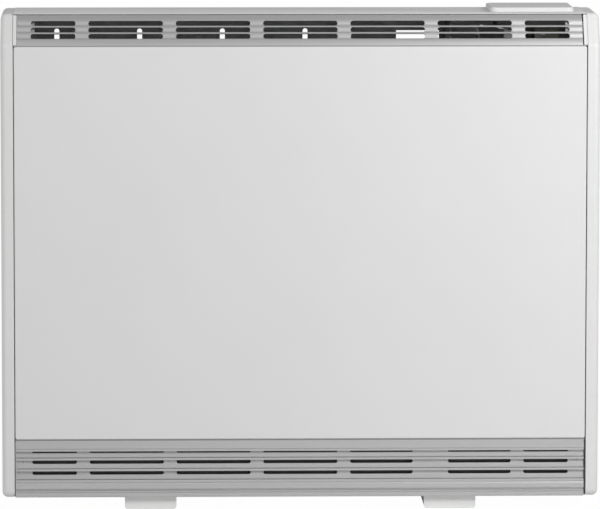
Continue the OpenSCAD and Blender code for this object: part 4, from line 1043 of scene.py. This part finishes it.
class HEATER_OT_fascia(bpy.types.Operator):
    """Finish the control tray and its fascia, and print a scale round each knob"""

    bl_idname = "heater.fascia"
    bl_label = "Tray and fascia"

    numbers: IntProperty(name="Numbers", description="Numbers on each scale", default=6, min=2)
    scale_r: length("Scale radius", "Radius of the ring of numbers", 20.3)
    ink: length("Ink", "Thickness of the printed marks", 0.08)
    tick_w: length("Tick width", "Width of the marks between the numbers", 0.5)
    turn: degrees("Scale turn", "Angle that a scale spans", 270)

    # Size of the type, as a share of the numbers' height
    TYPE = 1.35

    def digit(self, text, height, at):
        """A number as flat points and faces, centred at a point."""
        curve = bpy.data.curves.new("digit", "FONT")
        curve.body = text
        curve.size = height * self.TYPE
        curve.resolution_u = 6
        curve.extrude = self.ink / 2
        curve.align_x = "CENTER"
        curve.align_y = "CENTER"
        holder = bpy.data.objects.new("digit", curve)
        bpy.context.scene.collection.objects.link(holder)
        bpy.context.view_layer.update()
        graph = bpy.context.evaluated_depsgraph_get()
        mesh = bpy.data.meshes.new_from_object(holder.evaluated_get(graph))
        points = np.empty(len(mesh.vertices) * 3)
        mesh.vertices.foreach_get("co", points)
        points = points.reshape(-1, 3)
        points[:, :2] -= (points[:, :2].min(0) + points[:, :2].max(0)) / 2
        faces = [list(face.vertices) for face in mesh.polygons]
        bpy.data.objects.remove(holder)
        bpy.data.curves.remove(curve)
        bpy.data.meshes.remove(mesh)
        return points + np.array(at), faces

    def tick(self, centre, angle, inner, outer):
        """A short bar along a ray from a knob's centre."""
        half, lift = self.tick_w / 2, self.ink / 2
        points, faces = bar_patch((inner, -half, -lift), (outer, half, lift))
        return spun(points, angle, centre), faces

    def ray(self, share):
        """The angle at a share of the scale, which runs clockwise and is centred to the back."""
        return math.pi / 2 + self.turn / 2 - share * self.turn

    def execute(self, context):
        sizes = context.scene.heater_sizes
        soften("control_tray", "tray_plastic", sizes.sheet_edge * 2, 2)
        soften("control_fascia", "fascia_plastic", sizes.sheet_edge, 2)
        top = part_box("control_fascia")[1].z + self.ink / 2
        marks = []
        for node in ("output_knob", "charge_knob"):
            low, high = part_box(node)
            centre = ((low.x + high.x) / 2, (low.y + high.y) / 2, top)
            for figure, share in enumerate(np.linspace(0, 1, self.numbers), 1):
                at = spun(np.array([self.scale_r, 0.0, 0.0]), self.ray(share), centre)
                marks.append(self.digit(str(figure), sizes.digit_height, at))
            inner = self.scale_r - sizes.tick_length / 2
            for share in np.linspace(0, 1, 2 * self.numbers - 1)[1::2]:
                marks.append(self.tick(centre, self.ray(share), inner, inner + sizes.tick_length))
        make_piece("fascia_scales", marks, "knob_plastic", "casing", paint="marks", sharp=30)
        return {"FINISHED"}


class HEATER_OT_knobs(bpy.types.Operator):
    """Make the two knobs, each with a skirt, a fluted barrel and an inlaid pointer"""

    bl_idname = "heater.knobs"
    bl_label = "Knobs"

    flutes: IntProperty(name="Flutes", description="Flutes round a knob", default=20, min=6)
    skirt_h: length("Skirt height", "Height of a knob's skirt", 3.0)
    barrel_r: length("Barrel radius", "Radius of a knob's barrel", 12.4)
    skirt_r: length("Skirt radius", "Radius of a knob's skirt", 16.0)
    pointer_turn: degrees("Pointer turn", "Where the pointers stand at rest, from +X", 225)
    dish: length("Dish", "How far the top is dished", 0.3)
    fade: length("Flute fade", "Height over which the flutes fade in", 1.2)

    # Where the pointer's line starts, how far inside the barrel's radius it stops, and how far
    # inside the barrel's and the skirt's radius its foot starts and stops
    LINE_START, LINE_STOP = 4.0 * MM, 1.6 * MM
    FOOT_START, FOOT_STOP = 0.6 * MM, 0.7 * MM

    # Half the width of each, its height, and how deep it is sunk
    LINE = (0.7 * MM, 0.35 * MM, 0.25 * MM)
    FOOT = (1.0 * MM, 0.8 * MM, 0.1 * MM)

    def body(self, centre, base, top, edge, flute):
        """Turns the knob's profile; over the barrel the radius is scaled by
        1 - flute / barrel * (1/2 - cos(flutes * (a - rest)) / 2)^1.5, fading in above the
        skirt."""
        skirt, barrel = self.skirt_r, self.barrel_r
        t = np.linspace(0, math.pi / 2, 6)
        lift = base + self.skirt_h
        foot = 0.5 * MM
        profile = [(0.0, base), (skirt - foot, base), (skirt, base + foot)]
        rise = np.stack([skirt - edge + edge * np.cos(t), lift - edge + edge * np.sin(t)], 1)
        profile += rise.tolist()
        inner = np.stack([barrel + edge * (1 - np.sin(t)), lift + edge * (1 - np.cos(t))], 1)
        profile += inner.tolist()
        profile += [(barrel, z) for z in np.linspace(lift + edge * 1.6, top - edge * 2, 5)]
        dome = np.stack([barrel - edge + edge * np.cos(t), top - edge + edge * np.sin(t)], 1)
        profile += dome.tolist()
        profile += [
            (barrel - edge - 0.8 * MM, top),
            (barrel * 0.5, top - self.dish * 5 / 6),
            (0.0, top - self.dish),
        ]

        def wave(a, height):
            ridge = 0.5 - 0.5 * np.cos(self.flutes * (a - self.pointer_turn))
            fade = np.clip((height - lift - edge) / self.fade, 0, 1)
            return 1 - flute / barrel * ridge**1.5 * fade

        return grid_patch(turned(profile, centre, 160, wave=wave), wrap_rows=True)

    def inlay(self, inner, outer, section, centre):
        """A bar of the pointer, from one radius to another, sunk in the surface at the centre."""
        half, height, sunk = section
        points, faces = bar_patch((inner, -half, -sunk), (outer, half, height - sunk))
        return spun(points, self.pointer_turn, centre), faces

    def execute(self, context):
        sizes = context.scene.heater_sizes
        for node in ("charge_knob", "output_knob"):
            low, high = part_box(node)
            x, y = (low.x + high.x) / 2, (low.y + high.y) / 2
            ledge = low.z + self.skirt_h
            patch = self.body((x, y, 0.0), low.z, high.z, sizes.knob_edge, sizes.flute_depth)
            make_piece(node + "_body", [patch], "knob_plastic", node, (node,), sharp=50)
            stop, start = self.barrel_r - self.LINE_STOP, self.barrel_r - self.FOOT_START
            pieces = [
                self.inlay(self.LINE_START, stop, self.LINE, (x, y, high.z)),
                self.inlay(start, self.skirt_r - self.FOOT_STOP, self.FOOT, (x, y, ledge)),
            ]
            make_piece(node + "_pointer", pieces, "fascia_plastic", node)
        return {"FINISHED"}


class HEATER_OT_core(bpy.types.Operator):
    """Finish the brick core: bricks, insulation boards and heating elements"""

    bl_idname = "heater.core"
    bl_label = "Core"

    def execute(self, context):
        nodes = sorted(frame["nodes"])
        paint_nodes("storage_brick", *[n for n in nodes if n.startswith("brick_")])
        paint_nodes("insulation_board", *[n for n in nodes if n.endswith("_insulation")])
        paint_nodes("element_steel", *[n for n in nodes if n.startswith("heating_element_")])
        return {"FINISHED"}


class HEATER_OT_works(bpy.types.Operator):
    """Finish the controls, the damper drive and the wiring"""

    bl_idname = "heater.works"
    bl_label = "Works"

    def execute(self, context):
        paint_nodes(
            "screw_steel", "lid_hinge_pins", "charge_spindle", "damper_spindle", "output_cam"
        )
        paint_nodes("zinc_sheet", "control_cradle", "damper_link", "damper_flap")
        paint_nodes("moulded_ceramic", "charge_thermostat", "thermal_cutout", "terminal_block")
        paint_nodes("foot_plastic", "cable_clamp")
        paint_nodes("copper_tube", "capillary_sensor")
        paint_nodes("stud_brass", "earth_stud")
        paint_nodes("wire_sleeve", "wiring_harness")
        return {"FINISHED"}


# Stage --------------------------------------------------------------------------------


class HEATER_OT_stage(bpy.types.Operator):
    """Set up the camera, the lights, the sky and a plain pale floor"""

    bl_idname = "heater.stage"
    bl_label = "Stage"

    # Each light: the setting of its power, its place, what it is aimed at, its width and height
    LIGHTS = {
        "key": ("key_power", (1.25, -1.3, 1.35), (0.3, -0.09, 0.6), 0.6, 0.8),
        "fill": ("fill_power", (-2.2, -1.8, 2.0), (0.0, -0.09, 0.5), 1.4, 1.2),
    }

    # How far the floor lies under the feet
    FLOOR_DROP = 0.2 * MM

    def camera(self, stage):
        """Places the camera from its yaw, pitch and roll."""
        yaw, pitch, roll = stage.camera_yaw, stage.camera_pitch, stage.camera_roll
        view = Vector(
            (math.sin(yaw) * math.cos(pitch), math.cos(yaw) * math.cos(pitch), -math.sin(pitch))
        )
        right = Vector((math.cos(yaw), -math.sin(yaw), 0.0))
        up = right.cross(view)
        across = math.cos(roll) * right + math.sin(roll) * up
        up = math.cos(roll) * up - math.sin(roll) * right
        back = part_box("front_panel")[0].y - stage.camera_back
        place = Vector((stage.camera_side, back, stage.camera_height))
        data = bpy.data.cameras.new("camera")
        data.lens = stage.camera_lens
        data.clip_end = 4 * stage.floor_half
        camera = bpy.data.objects.new("camera", data)
        bpy.context.scene.collection.objects.link(camera)
        axes = Matrix((across, up, -view)).transposed().to_4x4()
        camera.matrix_world = Matrix.Translation(place) @ axes
        bpy.context.scene.camera = camera

    def light(self, name, power, place, target, width, height):
        """Adds a rectangular light that is aimed at a point."""
        data = bpy.data.lights.new(name, "AREA")
        data.shape = "RECTANGLE"
        data.size = width
        data.size_y = height
        data.energy = power
        light = bpy.data.objects.new(name, data)
        bpy.context.scene.collection.objects.link(light)
        aim = (Vector(place) - Vector(target)).to_track_quat("Z", "Y").to_matrix().to_4x4()
        light.matrix_world = Matrix.Translation(Vector(place)) @ aim

    def sky(self, strength):
        """Even light from all round; the camera sees plain white."""
        world = bpy.data.worlds.new("studio")
        bpy.context.scene.world = world
        shading = Shading(world)
        shading.tree.nodes.remove(shading.tree.nodes["Background"])
        seen = shading.node("ShaderNodeLightPath", output="Is Camera Ray")
        soft = shading.node("ShaderNodeBackground", {}, {"Strength": strength})
        plain = shading.node("ShaderNodeBackground", {}, {"Color": (1, 1, 1, 1)})
        light = shading.node("ShaderNodeMixShader", {}, {0: seen, 1: soft, 2: plain})
        shading.shown(light, "World Output")

    def floor(self, half, glow):
        """Adds a plain floor of pale paper, which is nearly white where the camera sees it."""
        square = np.array([[[-1, -1], [1, -1]], [[-1, 1], [1, 1]]], float) * half
        points, faces = grid_patch(placed(square, -self.FLOOR_DROP, "xy"))
        mesh = bpy.data.meshes.new("floor")
        mesh.from_pydata(points.tolist(), [], faces)
        f = Finish("floor_paper", {"Specular IOR Level": 0.1})
        tone = f.mix(f.noise(1.5, 2.0), (0.86, 0.86, 0.86), (0.88, 0.88, 0.88))
        f.feed({"Base Color": tone, "Roughness": f.noise(30.0).ramp(0.3, 0.7, 0.85, 0.95)})
        seen = f.node("ShaderNodeLightPath", output="Is Camera Ray")
        paper = Socket(f, f.shader.outputs[0])
        white = f.node("ShaderNodeEmission")
        surface = f.node("ShaderNodeMixShader", {}, {0: seen * glow, 1: paper, 2: white})
        f.shown(surface, "Material Output")
        mesh.materials.append(f.material)
        floor = bpy.data.objects.new("floor", mesh)
        bpy.context.scene.collection.objects.link(floor)

    def execute(self, context):
        scene = context.scene
        stage = scene.heater_stage
        self.camera(stage)
        for name, (power, place, target, width, height) in self.LIGHTS.items():
            self.light(name, getattr(stage, power), place, target, width, height)
        self.sky(stage.sky)
        self.floor(stage.floor_half, stage.floor_glow)
        scene.view_settings.view_transform = "Standard"
        scene.view_settings.look = "None"
        return {"FINISHED"}


# Add-on -------------------------------------------------------------------------------

GROUPS = {
    "heater_sizes": HeaterSizes,
    "heater_colours": HeaterColours,
    "heater_stage": HeaterStage,
}

OPERATORS = (
    HEATER_OT_casing,
    HEATER_OT_end_caps,
    HEATER_OT_front_panel,
    HEATER_OT_grilles,
    HEATER_OT_feet,
    HEATER_OT_back,
    HEATER_OT_screws,
    HEATER_OT_lid,
    HEATER_OT_fascia,
    HEATER_OT_knobs,
    HEATER_OT_core,
    HEATER_OT_works,
    HEATER_OT_stage,
)


class HEATER_PT_panel(bpy.types.Panel):
    """Lists the pieces of the heater and their settings"""

    bl_idname = "HEATER_PT_panel"
    bl_label = "Heater"
    bl_space_type = "VIEW_3D"
    bl_region_type = "UI"
    bl_category = "Heater"

    def draw(self, context):
        column = self.layout.column(align=True)
        for operator in OPERATORS:
            column.operator(operator.bl_idname)
        for group in GROUPS:
            settings = getattr(context.scene, group)
            box = self.layout.box()
            for name in settings.__annotations__:
                box.prop(settings, name)


def register():
    for cls in (*GROUPS.values(), *OPERATORS, HEATER_PT_panel):
        bpy.utils.register_class(cls)
    for name, group in GROUPS.items():
        setattr(bpy.types.Scene, name, PointerProperty(type=group))


def unregister():
    for name in GROUPS:
        delattr(bpy.types.Scene, name)
    for cls in reversed((*GROUPS.values(), *OPERATORS, HEATER_PT_panel)):
        bpy.utils.unregister_class(cls)


def main():
    """Registers the add-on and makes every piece."""
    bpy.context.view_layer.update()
    register()
    for operator in OPERATORS:
        group, name = operator.bl_idname.split(".")
        getattr(getattr(bpy.ops, group), name)()
    bpy.context.view_layer.update()


if __name__ == "__main__":
    main()
